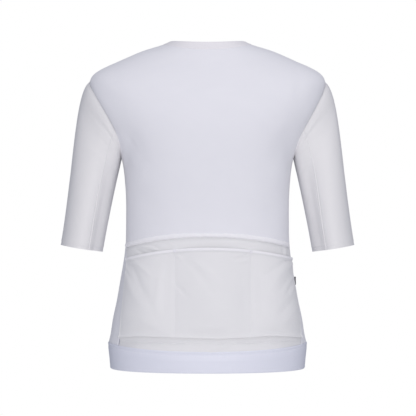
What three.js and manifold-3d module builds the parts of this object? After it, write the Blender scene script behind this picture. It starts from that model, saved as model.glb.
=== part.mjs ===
// Short-sleeved cycling jersey in its worn shape, open and empty.
// Millimetres, +Z up. The wearer faces +Y: the back faces -Y and +X is the wearer's right.
// The origin is on the centre plane, between the shoulders, at the height of the neck base.
//
// The torso, shoulders and collar share one form. A point of it is given by an angle, in degrees
// from centre back towards +X, and a level, the height that its ring has at the side.
import * as THREE from 'three';
import { mergeVertices } from 'three/addons/utils/BufferGeometryUtils.js';
import Module from 'manifold-3d';

// Cloth walls and seams.
const CLOTH = 1.3;
const BAND_CLOTH = 2.0;
const SEAM_GAP = 0.3;
const ROUNDNESS = 2.3;

// Named levels of the form.
const HEM = -599;
const HEM_SEAM = -550;
const POCKET_FOOT = -541;
const POCKET_MOUTH = -396;
const WAIST_SEAM = -370;
const ARMPIT = -203;
const SHOULDER_POINT = -63;
const NECK = 3;
const COLLAR_TOP = 9.4;

// Rings of the form, one row each. side, back and front are heights; leftSeam and rightSeam are
// the angles from the side back to the side seam.
const RINGS = [
  { side: -599, back: -599, front: -590, halfWidth: 181, backDepth: 111, frontDepth: 104, leftSeam: 29, rightSeam: 22 },
  { side: -575, back: -579, front: -567, halfWidth: 183, backDepth: 112, frontDepth: 104, leftSeam: 29, rightSeam: 22 },
  { side: -550, back: -559, front: -543, halfWidth: 184, backDepth: 111, frontDepth: 104, leftSeam: 29, rightSeam: 21 },
  { side: -541, back: -537, front: -534, halfWidth: 182, backDepth: 109, frontDepth: 103, leftSeam: 29, rightSeam: 20 },
  { side: -510, back: -503, front: -504, halfWidth: 177, backDepth: 105, frontDepth: 101, leftSeam: 28, rightSeam: 18 },
  { side: -477, back: -467, front: -472, halfWidth: 170, backDepth: 101, frontDepth: 99, leftSeam: 26, rightSeam: 16 },
  { side: -443, back: -429, front: -440, halfWidth: 164, backDepth: 97, frontDepth: 97, leftSeam: 24, rightSeam: 15 },
  { side: -396, back: -377, front: -396, halfWidth: 156, backDepth: 93, frontDepth: 96, leftSeam: 18, rightSeam: 9 },
  { side: -370, back: -350, front: -372, halfWidth: 153, backDepth: 91, frontDepth: 97, leftSeam: 10, rightSeam: 5 },
  { side: -330, back: -316, front: -335, halfWidth: 152, backDepth: 91, frontDepth: 101, leftSeam: 3, rightSeam: 2 },
  { side: -290, back: -281, front: -295, halfWidth: 152, backDepth: 94, frontDepth: 107, leftSeam: 0, rightSeam: 0 },
  { side: -245, back: -247, front: -254, halfWidth: 155, backDepth: 98, frontDepth: 113, leftSeam: 0, rightSeam: 0 },
  { side: -203, back: -212, front: -220, halfWidth: 162, backDepth: 102, frontDepth: 115, leftSeam: 0, rightSeam: 0 },
  { side: -162, back: -181, front: -194, halfWidth: 180, backDepth: 105, frontDepth: 112, leftSeam: 0, rightSeam: 0 },
  { side: -118, back: -146, front: -170, halfWidth: 204, backDepth: 106, frontDepth: 105, leftSeam: 0, rightSeam: 0 },
  { side: -85, back: -117, front: -148, halfWidth: 217, backDepth: 103, frontDepth: 99, leftSeam: 0, rightSeam: 0 },
  { side: -63, back: -97, front: -131, halfWidth: 219, backDepth: 98, frontDepth: 94, leftSeam: -7, rightSeam: -7 },
  { side: -50, back: -85, front: -121, halfWidth: 210, backDepth: 94, frontDepth: 90, leftSeam: -8, rightSeam: -8 },
  { side: -28, back: -62, front: -103, halfWidth: 170, backDepth: 87, frontDepth: 83, leftSeam: -10, rightSeam: -10 },
  { side: -17, back: -48, front: -93, halfWidth: 146, backDepth: 81, frontDepth: 79, leftSeam: -11, rightSeam: -11 },
  { side: -6, back: -31, front: -82, halfWidth: 118, backDepth: 74, frontDepth: 75, leftSeam: -12, rightSeam: -12 },
  { side: 3, back: -11, front: -72, halfWidth: 84, backDepth: 68, frontDepth: 71, leftSeam: -13, rightSeam: -13 },
  { side: 6.4, back: -4, front: -66, halfWidth: 75, backDepth: 65, frontDepth: 67, leftSeam: -13, rightSeam: -13 },
  { side: 9.4, back: 3, front: -60, halfWidth: 69, backDepth: 63, frontDepth: 63, leftSeam: -13, rightSeam: -13 },
];

// Largest soft folds, as troughs (negative height) or ridges. angle and level are the middle of a
// fold; turn and climb are how far each half runs; spread is half its breadth in millimetres.
const FOLDS = [
  { angle: -66, level: -205, turn: 13, climb: 34, spread: 17, height: -3.0 },
  { angle: 68, level: -205, turn: -13, climb: 34, spread: 17, height: -2.6 },
  { angle: -50, level: -238, turn: 11, climb: 26, spread: 16, height: 1.2 },
  { angle: 52, level: -240, turn: -11, climb: 28, spread: 16, height: 1.2 },
  { angle: -116, level: -205, turn: -13, climb: 34, spread: 17, height: -2.6 },
  { angle: 115, level: -205, turn: 13, climb: 34, spread: 17, height: -2.8 },
];

// Armhole, as an oval on the form from the armpit over the shoulder point.
const ARMHOLE_STEPS = 10;
const UNDER_STEPS = 4;
const ARMHOLE_BACK_LEFT = 26;
const ARMHOLE_BACK_RIGHT = 18;
const ARMHOLE_FRONT = 30;
const SHOULDER_SEAM_FORWARD = 7;

// Sleeve, from the armhole to the cuff.
const CUFF_CENTRE = { out: 235, height: -376 };
const CUFF_HALF_WIDTH = 39;
const CUFF_HALF_DEPTH = 47;
const SLEEVE_TILT = 9.5;
const UNDER_CUFF_ANGLE = 61;
const SLEEVE_ROWS = [0, 0.07, 0.14, 0.23, 0.34, 0.46, 0.59, 0.73, 0.87, 1];
const OUTER_LEAVE = { slope: 55, reach: 36 };
const INNER_LEAVE = { slope: 11, reach: 60 };
const OUTER_ARRIVE = 150;
const INNER_ARRIVE = 60;

// Rear pockets, in order from the wearer's left. The seams between them are upright, start and end
// being their distances from the centre back; null means the side seam.
const POCKETS = [
  { name: 'pocket_left', start: null, end: -58.4, columns: 8 },
  { name: 'pocket_centre', start: -58.4, end: 78.4, columns: 9 },
  { name: 'pocket_right', start: 78.4, end: null, columns: 8 },
];
const POCKET_ROWS = 8;
// Room between pocket and back, lower down and at the mouth; it fills out over the lowest part of
// the climb, and its fall to the sides is a sine to a power.
const POCKET_EASE = 9;
const MOUTH_EASE = 7.5;
const EASE_FILLED_AT = 0.35;
const EASE_SIDE_POWER = 0.6;

// Waist tape.
const WAIST_TAPE_HEIGHT = 5.6;
const WAIST_TAPE_CLOTH = 1.2;
const WAIST_TAPE_LIFT = 0.5;

// Front zip: tape behind the fronts, chain between them.
const CHAIN_HALF_WIDTH = 2.6;
const FRONT_EDGE = 3.0;
const TAPE_HALF_WIDTH = 13;
const TAPE_CLOTH = 0.8;
const CHAIN_PROUD = 0.6;
const ZIP_STITCH = 16;
const TAPE_LIFT = 0.55;
const ZIP_END_INSET = 1.0;

// Slider and pull tab.
const SLIDER_LEVEL = 6.4;
const SLIDER = { width: 7.6, length: 10, low: 0.95, high: 2.5, noseInset: 1.8, endInset: 1.4 };
const BRIDGE = {
  width: 2.4, halfLength: 3.5, wall: 1.2, tunnelHeight: 2.2, tunnelHalfLength: 2.2,
  sunk: 0.4, tunnelChamfer: 0.5, springing: 0.4, shoulder: 0.9,
};
const PULL = {
  width: 6, length: 21, thick: 1.1, bar: 0.55, windowHalfWidth: 1.75, windowEnd: 4.3,
  tipRadius: 2.4, tipSteps: 8, waistInset: 0.9, neckStart: 1, neckEnd: 3,
};
const PIN_HEIGHT = 3.6;

// Loop in the right side seam.
const LOOP = { level: -437, height: 15, reach: 5.2, thick: 1.3, forward: 1.4 };

const FINISHES = {
  bodyCloth: { color: 0xdedee5, roughness: 0.86, metalness: 0 },
  pocketCloth: { color: 0xdddbe0, roughness: 0.88, metalness: 0 },
  sleeveCloth: { color: 0xdedde1, roughness: 0.85, metalness: 0 },
  band: { color: 0xdddeeb, roughness: 0.7, metalness: 0 },
  zip: { color: 0xe2e2e6, roughness: 0.6, metalness: 0 },
  slider: { color: 0xb9bbc0, roughness: 0.35, metalness: 0.9 },
  loop: { color: 0x4a4a50, roughness: 0.8, metalness: 0 },
};

// Steps for measuring directions on the form, in degrees or millimetres, and round an armhole.
const PROBE = 0.25;
const TURN_PROBE = 0.02;
const LEVEL_SLACK = 1e-6;
const WELD = 1e-4;
// The sleeve's side of an armhole seam: out to the side and down.
const SLEEVE_FALL = -0.3;
// Where a fold's height starts and ends on its half sine.
const FOLD_TAPER = { start: 0.1, end: 0.9 };

// A curve through one column of a table that stays between its rows.
function columnCurve(rows, along, column) {
  const places = rows.map((row) => row[along]);
  const values = rows.map((row) => row[column]);
  const chords = places.slice(1).map((place, i) => (values[i + 1] - values[i]) / (place - places[i]));
  const slopes = values.map((_, i) => {
    const before = chords[Math.max(i - 1, 0)];
    const after = chords[Math.min(i, chords.length - 1)];
    return before * after > 0 ? (2 * before * after) / (before + after) : 0;
  });
  return (place) => {
    const last = places.length - 2;
    const next = places.findIndex((value) => value > place);
    const i = next < 0 ? last : Math.min(Math.max(next - 1, 0), last);
    const span = places[i + 1] - places[i];
    const t = (place - places[i]) / span;
    if (t < 0) return values[i] + chords[i] * (place - places[i]);
    if (t > 1) return values[i + 1] + chords[i] * (place - places[i + 1]);
    const rise = t * t * (3 - 2 * t);
    const leave = t * (1 - t) * (1 - t) * span * slopes[i];
    const arrive = t * t * (1 - t) * span * slopes[i + 1];
    return values[i] + (values[i + 1] - values[i]) * rise + leave - arrive;
  };
}

const ring = Object.fromEntries(
  Object.keys(RINGS[0]).map((column) => [column, columnCurve(RINGS, 'side', column)]),
);

const radians = THREE.MathUtils.degToRad;
const mix = THREE.MathUtils.lerp;

// Point of the form before its folds.
function plainForm(angle, level) {
  const sine = Math.sin(radians(angle));
  const cosine = Math.cos(radians(angle));
  const isBack = cosine > 0;
  const depth = isBack ? -ring.backDepth(level) : ring.frontDepth(level);
  const middleHeight = isBack ? ring.back(level) : ring.front(level);
  return new THREE.Vector3(
    Math.sign(sine) * ring.halfWidth(level) * Math.abs(sine) ** (2 / ROUNDNESS),
    depth * Math.abs(cosine) ** (2 / ROUNDNESS),
    mix(level, middleHeight, cosine * cosine),
  );
}

function outwardOf(surface, angle, level) {
  const across = surface(angle + PROBE, level).sub(surface(angle - PROBE, level));
  const upward = surface(angle, level + PROBE).sub(surface(angle, level - PROBE));
  return across.cross(upward).normalize();
}

// Height of all the folds together, above the plain form.
function foldHeight(angle, level) {
  const here = plainForm(angle, level);
  return FOLDS.reduce((sum, fold) => {
    const start = plainForm(fold.angle - fold.turn, fold.level - fold.climb);
    const end = plainForm(fold.angle + fold.turn, fold.level + fold.climb);
    const run = end.clone().sub(start);
    const t = THREE.MathUtils.clamp(here.clone().sub(start).dot(run) / run.lengthSq(), 0, 1);
    const away = here.distanceTo(start.addScaledVector(run, t)) / fold.spread;
    const taper = Math.sin(Math.PI * mix(FOLD_TAPER.start, FOLD_TAPER.end, t));
    return sum + fold.height * taper * Math.exp(-away * away);
  }, 0);
}

function form(angle, level) {
  const outward = outwardOf(plainForm, angle, level);
  return plainForm(angle, level).addScaledVector(outward, foldHeight(angle, level));
}

// Point of the form, moved out by a distance, with the direction out of the cloth.
function formPoint(angle, level, out = 0) {
  const normal = outwardOf(form, angle, level);
  return { point: form(angle, level).addScaledVector(normal, out), normal };
}

// Armhole of one side. turn goes from 0 at the armpit up the back to 1 at the shoulder point and
// down the front to 2.
function armholePlace(side, turn) {
  const isBack = turn <= 1;
  const climb = isBack ? turn : 2 - turn;
  const backReach = side < 0 ? ARMHOLE_BACK_LEFT : ARMHOLE_BACK_RIGHT;
  const reach = isBack ? -backReach : ARMHOLE_FRONT;
  const fromSide = reach * Math.sin(Math.PI * climb) + SHOULDER_SEAM_FORWARD * climb * climb;
  const level = mix(ARMPIT, SHOULDER_POINT, (1 - Math.cos(Math.PI * climb)) / 2);
  return { angle: side * (90 + fromSide), level };
}

function armholeCurve(side, turn) {
  const place = armholePlace(side, (turn + 2) % 2);
  return form(place.angle, place.level);
}

// Frame of the armhole seam: its point, the direction out of both cloths, and the direction
// across the seam towards the sleeve.
function armholeFrame(side, turn) {
  const point = armholeCurve(side, turn);
  const along = armholeCurve(side, turn + TURN_PROBE)
    .sub(armholeCurve(side, turn - TURN_PROBE))
    .normalize();
  const centre = armholeCurve(side, 0).add(armholeCurve(side, 1)).multiplyScalar(0.5);
  const normal = point.clone().sub(centre);
  normal.addScaledVector(along, -normal.dot(along)).normalize();
  const across = along.clone().cross(normal);
  const towardsSleeve = new THREE.Vector3(side, 0, SLEEVE_FALL);
  if (across.dot(towardsSleeve) < 0) across.negate();
  return { point, normal, across };
}

function armholeLevels() {
  const steps = Array.from({ length: ARMHOLE_STEPS + 1 }, (_, i) => i / ARMHOLE_STEPS);
  return steps.map((step) => armholePlace(1, step).level);
}

// Angle of the edge that the back and a front share on one side: the side seam below the armpit
// and the shoulder seam above the shoulder point.
function seamAngle(side, level) {
  const inset = side < 0 ? ring.leftSeam(level) : ring.rightSeam(level);
  return side * (90 - inset);
}

function edgeCell(side, half, level, trim) {
  const climbed = (level - ARMPIT) / (SHOULDER_POINT - ARMPIT);
  const isArmhole = climbed > -LEVEL_SLACK && climbed < 1 + LEVEL_SLACK;
  if (!isArmhole) {
    const angle = seamAngle(side, level);
    return { angle, ...formPoint(angle, level) };
  }
  const climb = Math.acos(1 - 2 * THREE.MathUtils.clamp(climbed, 0, 1)) / Math.PI;
  const turn = half === 'back' ? climb : (2 - climb) % 2;
  const frame = armholeFrame(side, turn);
  const point = frame.point.addScaledVector(frame.across, -trim);
  return { angle: armholePlace(side, turn).angle, point, normal: frame.normal };
}

// Closed wall between a grid of outer cells and the same grid moved in by the cloth's thickness.
function wall(cells, cloth) {
  const rows = cells.length;
  const columns = cells[0].length;
  const outer = cells.flat().map((cell) => cell.point);
  const inner = cells.flat().map((cell) => cell.point.clone().addScaledVector(cell.normal, -cloth));
  const triangles = [];
  const face = (a, b, c, d) => triangles.push([a, b, c], [a, c, d]);
  const out = (i, j) => i * columns + j;
  const inn = (i, j) => rows * columns + out(i, j);
  for (let i = 0; i < rows - 1; i += 1) {
    for (let j = 0; j < columns - 1; j += 1) {
      face(out(i, j), out(i, j + 1), out(i + 1, j + 1), out(i + 1, j));
      face(inn(i, j), inn(i + 1, j), inn(i + 1, j + 1), inn(i, j + 1));
    }
    face(out(i, 0), out(i + 1, 0), inn(i + 1, 0), inn(i, 0));
    face(out(i, columns - 1), inn(i, columns - 1), inn(i + 1, columns - 1), out(i + 1, columns - 1));
  }
  for (let j = 0; j < columns - 1; j += 1) {
    face(out(0, j), inn(0, j), inn(0, j + 1), out(0, j + 1));
    face(out(rows - 1, j), out(rows - 1, j + 1), inn(rows - 1, j + 1), inn(rows - 1, j));
  }
  return solid([...outer, ...inner], triangles);
}

// Geometry of a closed body, turned so that its faces point out.
function solid(points, triangles) {
  const volume = triangles.reduce(
    (sum, [a, b, c]) => sum + points[a].dot(points[b].clone().cross(points[c])),
    0,
  );
  const facing = volume > 0 ? triangles : triangles.map(([a, b, c]) => [a, c, b]);
  const geometry = new THREE.BufferGeometry();
  const positions = points.flatMap((point) => point.toArray());
  geometry.setAttribute('position', new THREE.Float32BufferAttribute(positions, 3));
  geometry.setIndex(facing.flat());
  geometry.computeVertexNormals();
  return geometry;
}

// Moves an edge's cells towards the next row or column, by a distance square to the edge.
function trimEdge(edge, next, distance) {
  const moves = edge.map((cell, i) => {
    const inward = next[i].point.clone().sub(cell.point);
    const before = edge[Math.max(i - 1, 0)].point;
    const after = edge[Math.min(i + 1, edge.length - 1)].point;
    const along = after.clone().sub(before).normalize();
    const square = inward.clone().addScaledVector(along, -inward.dot(along)).length();
    return inward.multiplyScalar(distance / square);
  });
  edge.forEach((cell, i) => cell.point.add(moves[i]));
}

function trimGrid(cells, sides, distance = SEAM_GAP / 2) {
  const last = cells.length - 1;
  const end = cells[0].length - 1;
  const column = (j) => cells.map((row) => row[j]);
  if (sides.includes('bottom')) trimEdge(cells[0], cells[1], distance);
  if (sides.includes('top')) trimEdge(cells[last], cells[last - 1], distance);
  if (sides.includes('start')) trimEdge(column(0), column(1), distance);
  if (sides.includes('end')) trimEdge(column(end), column(end - 1), distance);
  return cells;
}

function spaced(start, end, count) {
  return Array.from({ length: count + 1 }, (_, i) => mix(start, end, i / count));
}

const LOWER_LEVELS = [HEM_SEAM, POCKET_FOOT, -515, -486, -457, -427, POCKET_MOUTH, WAIST_SEAM];
const MIDDLE_LEVELS = [WAIST_SEAM, -345, -318, -290, -262, -236, -217];
const SHOULDER_LEVELS = [-57, -50, -39, -28, -17, -6, NECK];
const UPPER_LEVELS = [...MIDDLE_LEVELS, ...armholeLevels(), ...SHOULDER_LEVELS];
const FRONT_LEVELS = [...LOWER_LEVELS.slice(0, -1), ...UPPER_LEVELS];
const HEM_LEVELS = [HEM, mix(HEM, HEM_SEAM, 0.5), HEM_SEAM];
const COLLAR_LEVELS = [NECK, mix(NECK, COLLAR_TOP, 0.5), COLLAR_TOP];

// Trims the parts of a panel's side edge that meet its neighbour, which leaves out the armhole
// between its two ends.
function trimSideEdge(cells, levels, j, next) {
  const meets = levels.map((level) => level <= ARMPIT + 1e-6 || level >= SHOULDER_POINT - 1e-6);
  const runs = [[], []];
  meets.forEach((isMet, i) => isMet && runs[levels[i] > ARMPIT + 1e-6 ? 1 : 0].push(i));
  runs.filter((run) => run.length > 1).forEach((run) => {
    trimEdge(run.map((i) => cells[i][j]), run.map((i) => cells[i][next]), SEAM_GAP / 2);
  });
}


const BACK_COLUMNS = 18;
const FRONT_COLUMNS = 9;

function backGrid(levels) {
  const cells = levels.map((level) => {
    const left = edgeCell(-1, 'back', level, SEAM_GAP / 2);
    const right = edgeCell(1, 'back', level, SEAM_GAP / 2);
    const between = spaced(left.angle, right.angle, BACK_COLUMNS).slice(1, -1);
    return [left, ...between.map((angle) => formPoint(angle, level)), right];
  });
  trimSideEdge(cells, levels, 0, 1);
  trimSideEdge(cells, levels, BACK_COLUMNS, BACK_COLUMNS - 1);
  return trimGrid(cells, ['bottom', 'top']);
}

// Angle at which the form is a distance from the centre front.
function frontAngle(side, distance, level) {
  const sine = (distance / ring.halfWidth(level)) ** (ROUNDNESS / 2);
  return side * (180 - THREE.MathUtils.radToDeg(Math.asin(sine)));
}

// Angles across a front, from its outer edge to the zip's stitching and the zip edge.
function frontAngles(side, outerAngle, level) {
  const stitching = frontAngle(side, ZIP_STITCH, level);
  return [...spaced(outerAngle, stitching, FRONT_COLUMNS), frontAngle(side, FRONT_EDGE, level)];
}

function frontGrid(side, levels) {
  const cells = levels.map((level) => {
    const outer = edgeCell(side, 'front', level, SEAM_GAP / 2);
    const inside = frontAngles(side, outer.angle, level).slice(1);
    return [outer, ...inside.map((angle) => formPoint(angle, level))];
  });
  trimSideEdge(cells, levels, 0, 1);
  return trimGrid(cells, ['bottom', 'top']);
}

// Angles of the seam that a band shares with the panels along one level, from the left zip edge
// round the back to the right one.
function bandAngles(seamLevel, level) {
  const left = seamAngle(-1, seamLevel);
  const right = seamAngle(1, seamLevel);
  return [
    ...frontAngles(-1, left, level).reverse(),
    ...spaced(left, right, BACK_COLUMNS).slice(1),
    ...frontAngles(1, right, level).slice(1),
  ];
}

function bandGrid(levels, seamLevel, sides) {
  const cells = levels.map((level) => bandAngles(seamLevel, level).map((angle) => (
    formPoint(angle, level, BAND_CLOTH - CLOTH)
  )));
  return trimGrid(cells, sides);
}

// Sleeve line from an armhole point to its cuff point.
function sleevePoint(side, turn, cuffAngle, t, trim) {
  const frame = armholeFrame(side, turn);
  const start = frame.point.addScaledVector(frame.across, trim);
  const outwardShare = (1 - Math.cos(radians(cuffAngle))) / 2;
  const tilt = radians(SLEEVE_TILT);
  const axis = new THREE.Vector3(side * Math.sin(tilt), 0, -Math.cos(tilt));
  const sideways = new THREE.Vector3(side * Math.cos(tilt), 0, Math.sin(tilt));
  const end = new THREE.Vector3(side * CUFF_CENTRE.out, 0, CUFF_CENTRE.height)
    .addScaledVector(sideways, -CUFF_HALF_WIDTH * Math.cos(radians(cuffAngle)))
    .add(new THREE.Vector3(0, -CUFF_HALF_DEPTH * Math.sin(radians(cuffAngle)), 0));
  const slope = radians(mix(INNER_LEAVE.slope, OUTER_LEAVE.slope, outwardShare));
  const leave = new THREE.Vector3(side * Math.sin(slope), 0, -Math.cos(slope));
  const curve = new THREE.CubicBezierCurve3(
    start,
    start.clone().addScaledVector(leave, mix(INNER_LEAVE.reach, OUTER_LEAVE.reach, outwardShare)),
    end.clone().addScaledVector(axis, -mix(INNER_ARRIVE, OUTER_ARRIVE, outwardShare)),
    end,
  );
  return curve.getPoint(t);
}

// Angle at the cuff, from its inner side round the back, for a turn of the armhole.
function cuffAngleOf(turn) {
  const climb = turn <= 1 ? turn : 2 - turn;
  const underClimb = UNDER_STEPS / ARMHOLE_STEPS;
  const angle = climb < underClimb
    ? mix(0, UNDER_CUFF_ANGLE, climb / underClimb)
    : mix(UNDER_CUFF_ANGLE, 180, (climb - underClimb) / (1 - underClimb));
  return turn <= 1 ? angle : 360 - angle;
}

function sleeveGrid(side, turns) {
  const trim = SEAM_GAP / 2;
  const around = (turn) => ({ turn: (turn + 2) % 2, cuff: cuffAngleOf((turn + 2) % 2) });
  const step = 0.01;
  const surface = (turn, t) => {
    const place = around(turn);
    return sleevePoint(side, place.turn, place.cuff, t, trim);
  };
  const cells = SLEEVE_ROWS.map((t) => turns.map((turn) => {
    const point = surface(turn, t);
    if (t === 0) return { point, normal: armholeFrame(side, (turn + 2) % 2).normal };
    const across = surface(turn + step, t).sub(surface(turn - step, t));
    const down = surface(turn, Math.min(t + step, 1)).sub(surface(turn, t - step));
    return { point, normal: across.cross(down).multiplyScalar(side).normalize() };
  }));
  return trimGrid(cells, ['start', 'end']);
}

function turnsBetween(first, last) {
  return Array.from({ length: last - first + 1 }, (_, i) => (first + i) / ARMHOLE_STEPS);
}

// A pocket stands off the lower back by its ease, and closes on it at its sides and foot.
// Angle at which the back is a distance from its centre.
function backAngle(distance, level) {
  const sine = (Math.abs(distance) / ring.halfWidth(level)) ** (ROUNDNESS / 2);
  return Math.sign(distance) * THREE.MathUtils.radToDeg(Math.asin(sine));
}

function pocketGrid(pocket) {
  const cells = spaced(0, 1, POCKET_ROWS).map((climb) => {
    const level = mix(POCKET_FOOT, POCKET_MOUTH, climb);
    const start = pocket.start === null ? seamAngle(-1, level) : backAngle(pocket.start, level);
    const end = pocket.end === null ? seamAngle(1, level) : backAngle(pocket.end, level);
    return spaced(0, 1, pocket.columns).map((across) => {
      const sideFall = Math.sin(Math.PI * across) ** EASE_SIDE_POWER;
      const footFall = Math.min(1, climb / EASE_FILLED_AT);
      const ease = mix(POCKET_EASE, MOUTH_EASE, climb) * sideFall * Math.sin((Math.PI / 2) * footFall);
      return formPoint(mix(start, end, across), level, SEAM_GAP + CLOTH + ease);
    });
  });
  return trimGrid(cells, ['start', 'end']);
}

function waistTapeGrid() {
  const halfHeight = WAIST_TAPE_HEIGHT / 2;
  const left = seamAngle(-1, WAIST_SEAM);
  const right = seamAngle(1, WAIST_SEAM);
  const cells = [-halfHeight, halfHeight].map((rise) => (
    spaced(left, right, BACK_COLUMNS).map((angle) => (
      formPoint(angle, WAIST_SEAM + rise, WAIST_TAPE_LIFT + WAIST_TAPE_CLOTH)
    ))
  ));
  return trimGrid(cells, ['start', 'end']);
}

// The zip's T-shaped section, as places across the front and out from the form.
function frontZip() {
  const tapeFace = -(CLOTH + TAPE_LIFT);
  const tapeBack = tapeFace - TAPE_CLOTH;
  const section = [
    [-TAPE_HALF_WIDTH, tapeBack], [TAPE_HALF_WIDTH, tapeBack],
    [TAPE_HALF_WIDTH, tapeFace], [CHAIN_HALF_WIDTH, tapeFace],
    [CHAIN_HALF_WIDTH, CHAIN_PROUD], [-CHAIN_HALF_WIDTH, CHAIN_PROUD],
    [-CHAIN_HALF_WIDTH, tapeFace], [-TAPE_HALF_WIDTH, tapeFace],
  ];
  const levels = [
    HEM + ZIP_END_INSET, ...HEM_LEVELS.slice(1, -1), ...FRONT_LEVELS,
    ...COLLAR_LEVELS.slice(1, -1), COLLAR_TOP - ZIP_END_INSET,
  ];
  const points = levels.flatMap((level) => {
    const { point, normal } = formPoint(180, level);
    return section.map(([across, out]) => (
      point.clone().addScaledVector(normal, out).add(new THREE.Vector3(across, 0, 0))
    ));
  });
  const size = section.length;
  const triangles = [];
  for (let i = 0; i < levels.length - 1; i += 1) {
    for (let j = 0; j < size; j += 1) {
      const a = i * size + j;
      const b = i * size + ((j + 1) % size);
      triangles.push([a, b, b + size], [a, b + size, a + size]);
    }
  }
  const capFaces = [[0, 1, 2], [0, 2, 3], [0, 3, 6], [0, 6, 7], [3, 4, 5], [3, 5, 6]];
  const top = (levels.length - 1) * size;
  capFaces.forEach(([a, b, c]) => triangles.push([a, c, b], [top + a, top + b, top + c]));
  return solid(points, triangles);
}

// Place and turn of the slider: local x across the zip, y up along it, z out of the cloth.
function sliderMatrix() {
  const { point, normal } = formPoint(180, SLIDER_LEVEL);
  const across = new THREE.Vector3(-1, 0, 0);
  const upward = normal.clone().cross(across);
  return new THREE.Matrix4().makeBasis(across, upward, normal).setPosition(point);
}

function outline(points) {
  return points.map(([x, y]) => new THREE.Vector2(x, y));
}

// Side profile pushed out sideways, about the middle plane.
function extrudedAcross(shape, width) {
  const geometry = new THREE.ExtrudeGeometry(shape, { depth: width, bevelEnabled: false });
  geometry.translate(0, 0, -width / 2);
  return geometry.applyMatrix4(new THREE.Matrix4().makeBasis(
    new THREE.Vector3(0, 1, 0), new THREE.Vector3(0, 0, 1), new THREE.Vector3(1, 0, 0),
  ));
}

const wasm = await Module();
wasm.setup();

function toManifold(geometry) {
  const bare = new THREE.BufferGeometry();
  bare.setAttribute('position', geometry.getAttribute('position'));
  if (geometry.index) bare.setIndex(geometry.index);
  const merged = mergeVertices(bare, WELD);
  return new wasm.Manifold(new wasm.Mesh({
    numProp: 3,
    vertProperties: new Float32Array(merged.getAttribute('position').array),
    triVerts: new Uint32Array(merged.index.array),
  }));
}

function fromManifold(manifold) {
  const mesh = manifold.getMesh();
  const geometry = new THREE.BufferGeometry();
  geometry.setAttribute('position', new THREE.BufferAttribute(mesh.vertProperties, 3));
  geometry.setIndex(new THREE.BufferAttribute(mesh.triVerts, 1));
  geometry.computeVertexNormals();
  return geometry;
}

// Slider plate with the arched bridge that holds the pull tab.
function zipSlider() {
  const halfLength = SLIDER.length / 2;
  const nose = halfLength - SLIDER.noseInset;
  const shoulder = SLIDER.width / 2;
  const neck = shoulder - SLIDER.endInset;
  const plateShape = new THREE.Shape(outline([
    [-neck, -halfLength], [neck, -halfLength], [shoulder, nose],
    [neck, halfLength], [-neck, halfLength], [-shoulder, nose],
  ]));
  const plate = new THREE.ExtrudeGeometry(plateShape, {
    depth: SLIDER.high - SLIDER.low,
    bevelEnabled: false,
  });
  plate.translate(0, 0, SLIDER.low);
  const roof = SLIDER.high + BRIDGE.tunnelHeight;
  const sunk = SLIDER.high - BRIDGE.sunk;
  const chamfer = BRIDGE.tunnelChamfer;
  const springing = roof - BRIDGE.springing;
  const crown = BRIDGE.halfLength - BRIDGE.shoulder;
  const arch = new THREE.Shape(outline([
    [-BRIDGE.halfLength, sunk], [-BRIDGE.tunnelHalfLength, sunk],
    [-BRIDGE.tunnelHalfLength, roof - chamfer], [-BRIDGE.tunnelHalfLength + chamfer, roof],
    [BRIDGE.tunnelHalfLength - chamfer, roof], [BRIDGE.tunnelHalfLength, roof - chamfer],
    [BRIDGE.tunnelHalfLength, sunk], [BRIDGE.halfLength, sunk],
    [BRIDGE.halfLength, springing], [crown, roof + BRIDGE.wall],
    [-crown, roof + BRIDGE.wall], [-BRIDGE.halfLength, springing],
  ]));
  const joined = toManifold(plate).add(toManifold(extrudedAcross(arch, BRIDGE.width)));
  return fromManifold(joined);
}

// Pull tab, hanging from its pin at the local origin.
function zipPull() {
  const half = PULL.width / 2;
  const waist = half - PULL.waistInset;
  const neckStart = -PULL.windowEnd - PULL.neckStart;
  const neckEnd = -PULL.windowEnd - PULL.neckEnd;
  const low = -PULL.length + PULL.tipRadius;
  const tip = spaced(0, 180, PULL.tipSteps).map((angle) => [
    PULL.tipRadius * Math.cos(radians(angle)),
    low - PULL.tipRadius * Math.sin(radians(angle)),
  ]);
  const shape = new THREE.Shape(outline([
    [-waist, neckEnd], [-half, neckStart], [-half, PULL.bar], [half, PULL.bar],
    [half, neckStart], [waist, neckEnd], ...tip,
  ]));
  shape.holes.push(new THREE.Path(outline([
    [-PULL.windowHalfWidth, -PULL.bar], [-PULL.windowHalfWidth, -PULL.windowEnd],
    [PULL.windowHalfWidth, -PULL.windowEnd], [PULL.windowHalfWidth, -PULL.bar],
  ])));
  const geometry = new THREE.ExtrudeGeometry(shape, { depth: PULL.thick, bevelEnabled: false });
  return geometry.translate(0, 0, -PULL.thick / 2);
}

// Folded loop that stands out of the right side seam.
function sideLoop() {
  const angle = seamAngle(1, LOOP.level) + LOOP.forward;
  const { point, normal } = formPoint(angle, LOOP.level, SEAM_GAP);
  const up = new THREE.Vector3(0, 0, 1);
  const across = up.clone().cross(normal).normalize();
  const raised = normal.clone().cross(across).normalize();
  const half = LOOP.thick / 2;
  const shape = new THREE.Shape(outline([
    [0, -half], [LOOP.reach - half, -half], [LOOP.reach, 0], [LOOP.reach - half, half], [0, half],
  ]));
  const geometry = new THREE.ExtrudeGeometry(shape, { depth: LOOP.height, bevelEnabled: false });
  geometry.translate(0, 0, -LOOP.height / 2);
  return geometry.applyMatrix4(
    new THREE.Matrix4().makeBasis(normal, across, raised).setPosition(point),
  );
}

const group = new THREE.Group();

function addPiece(name, geometry, finish, matrix = null) {
  const mesh = new THREE.Mesh(geometry, new THREE.MeshStandardMaterial(FINISHES[finish]));
  mesh.name = name;
  if (matrix) mesh.applyMatrix4(matrix);
  group.add(mesh);
}

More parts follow.
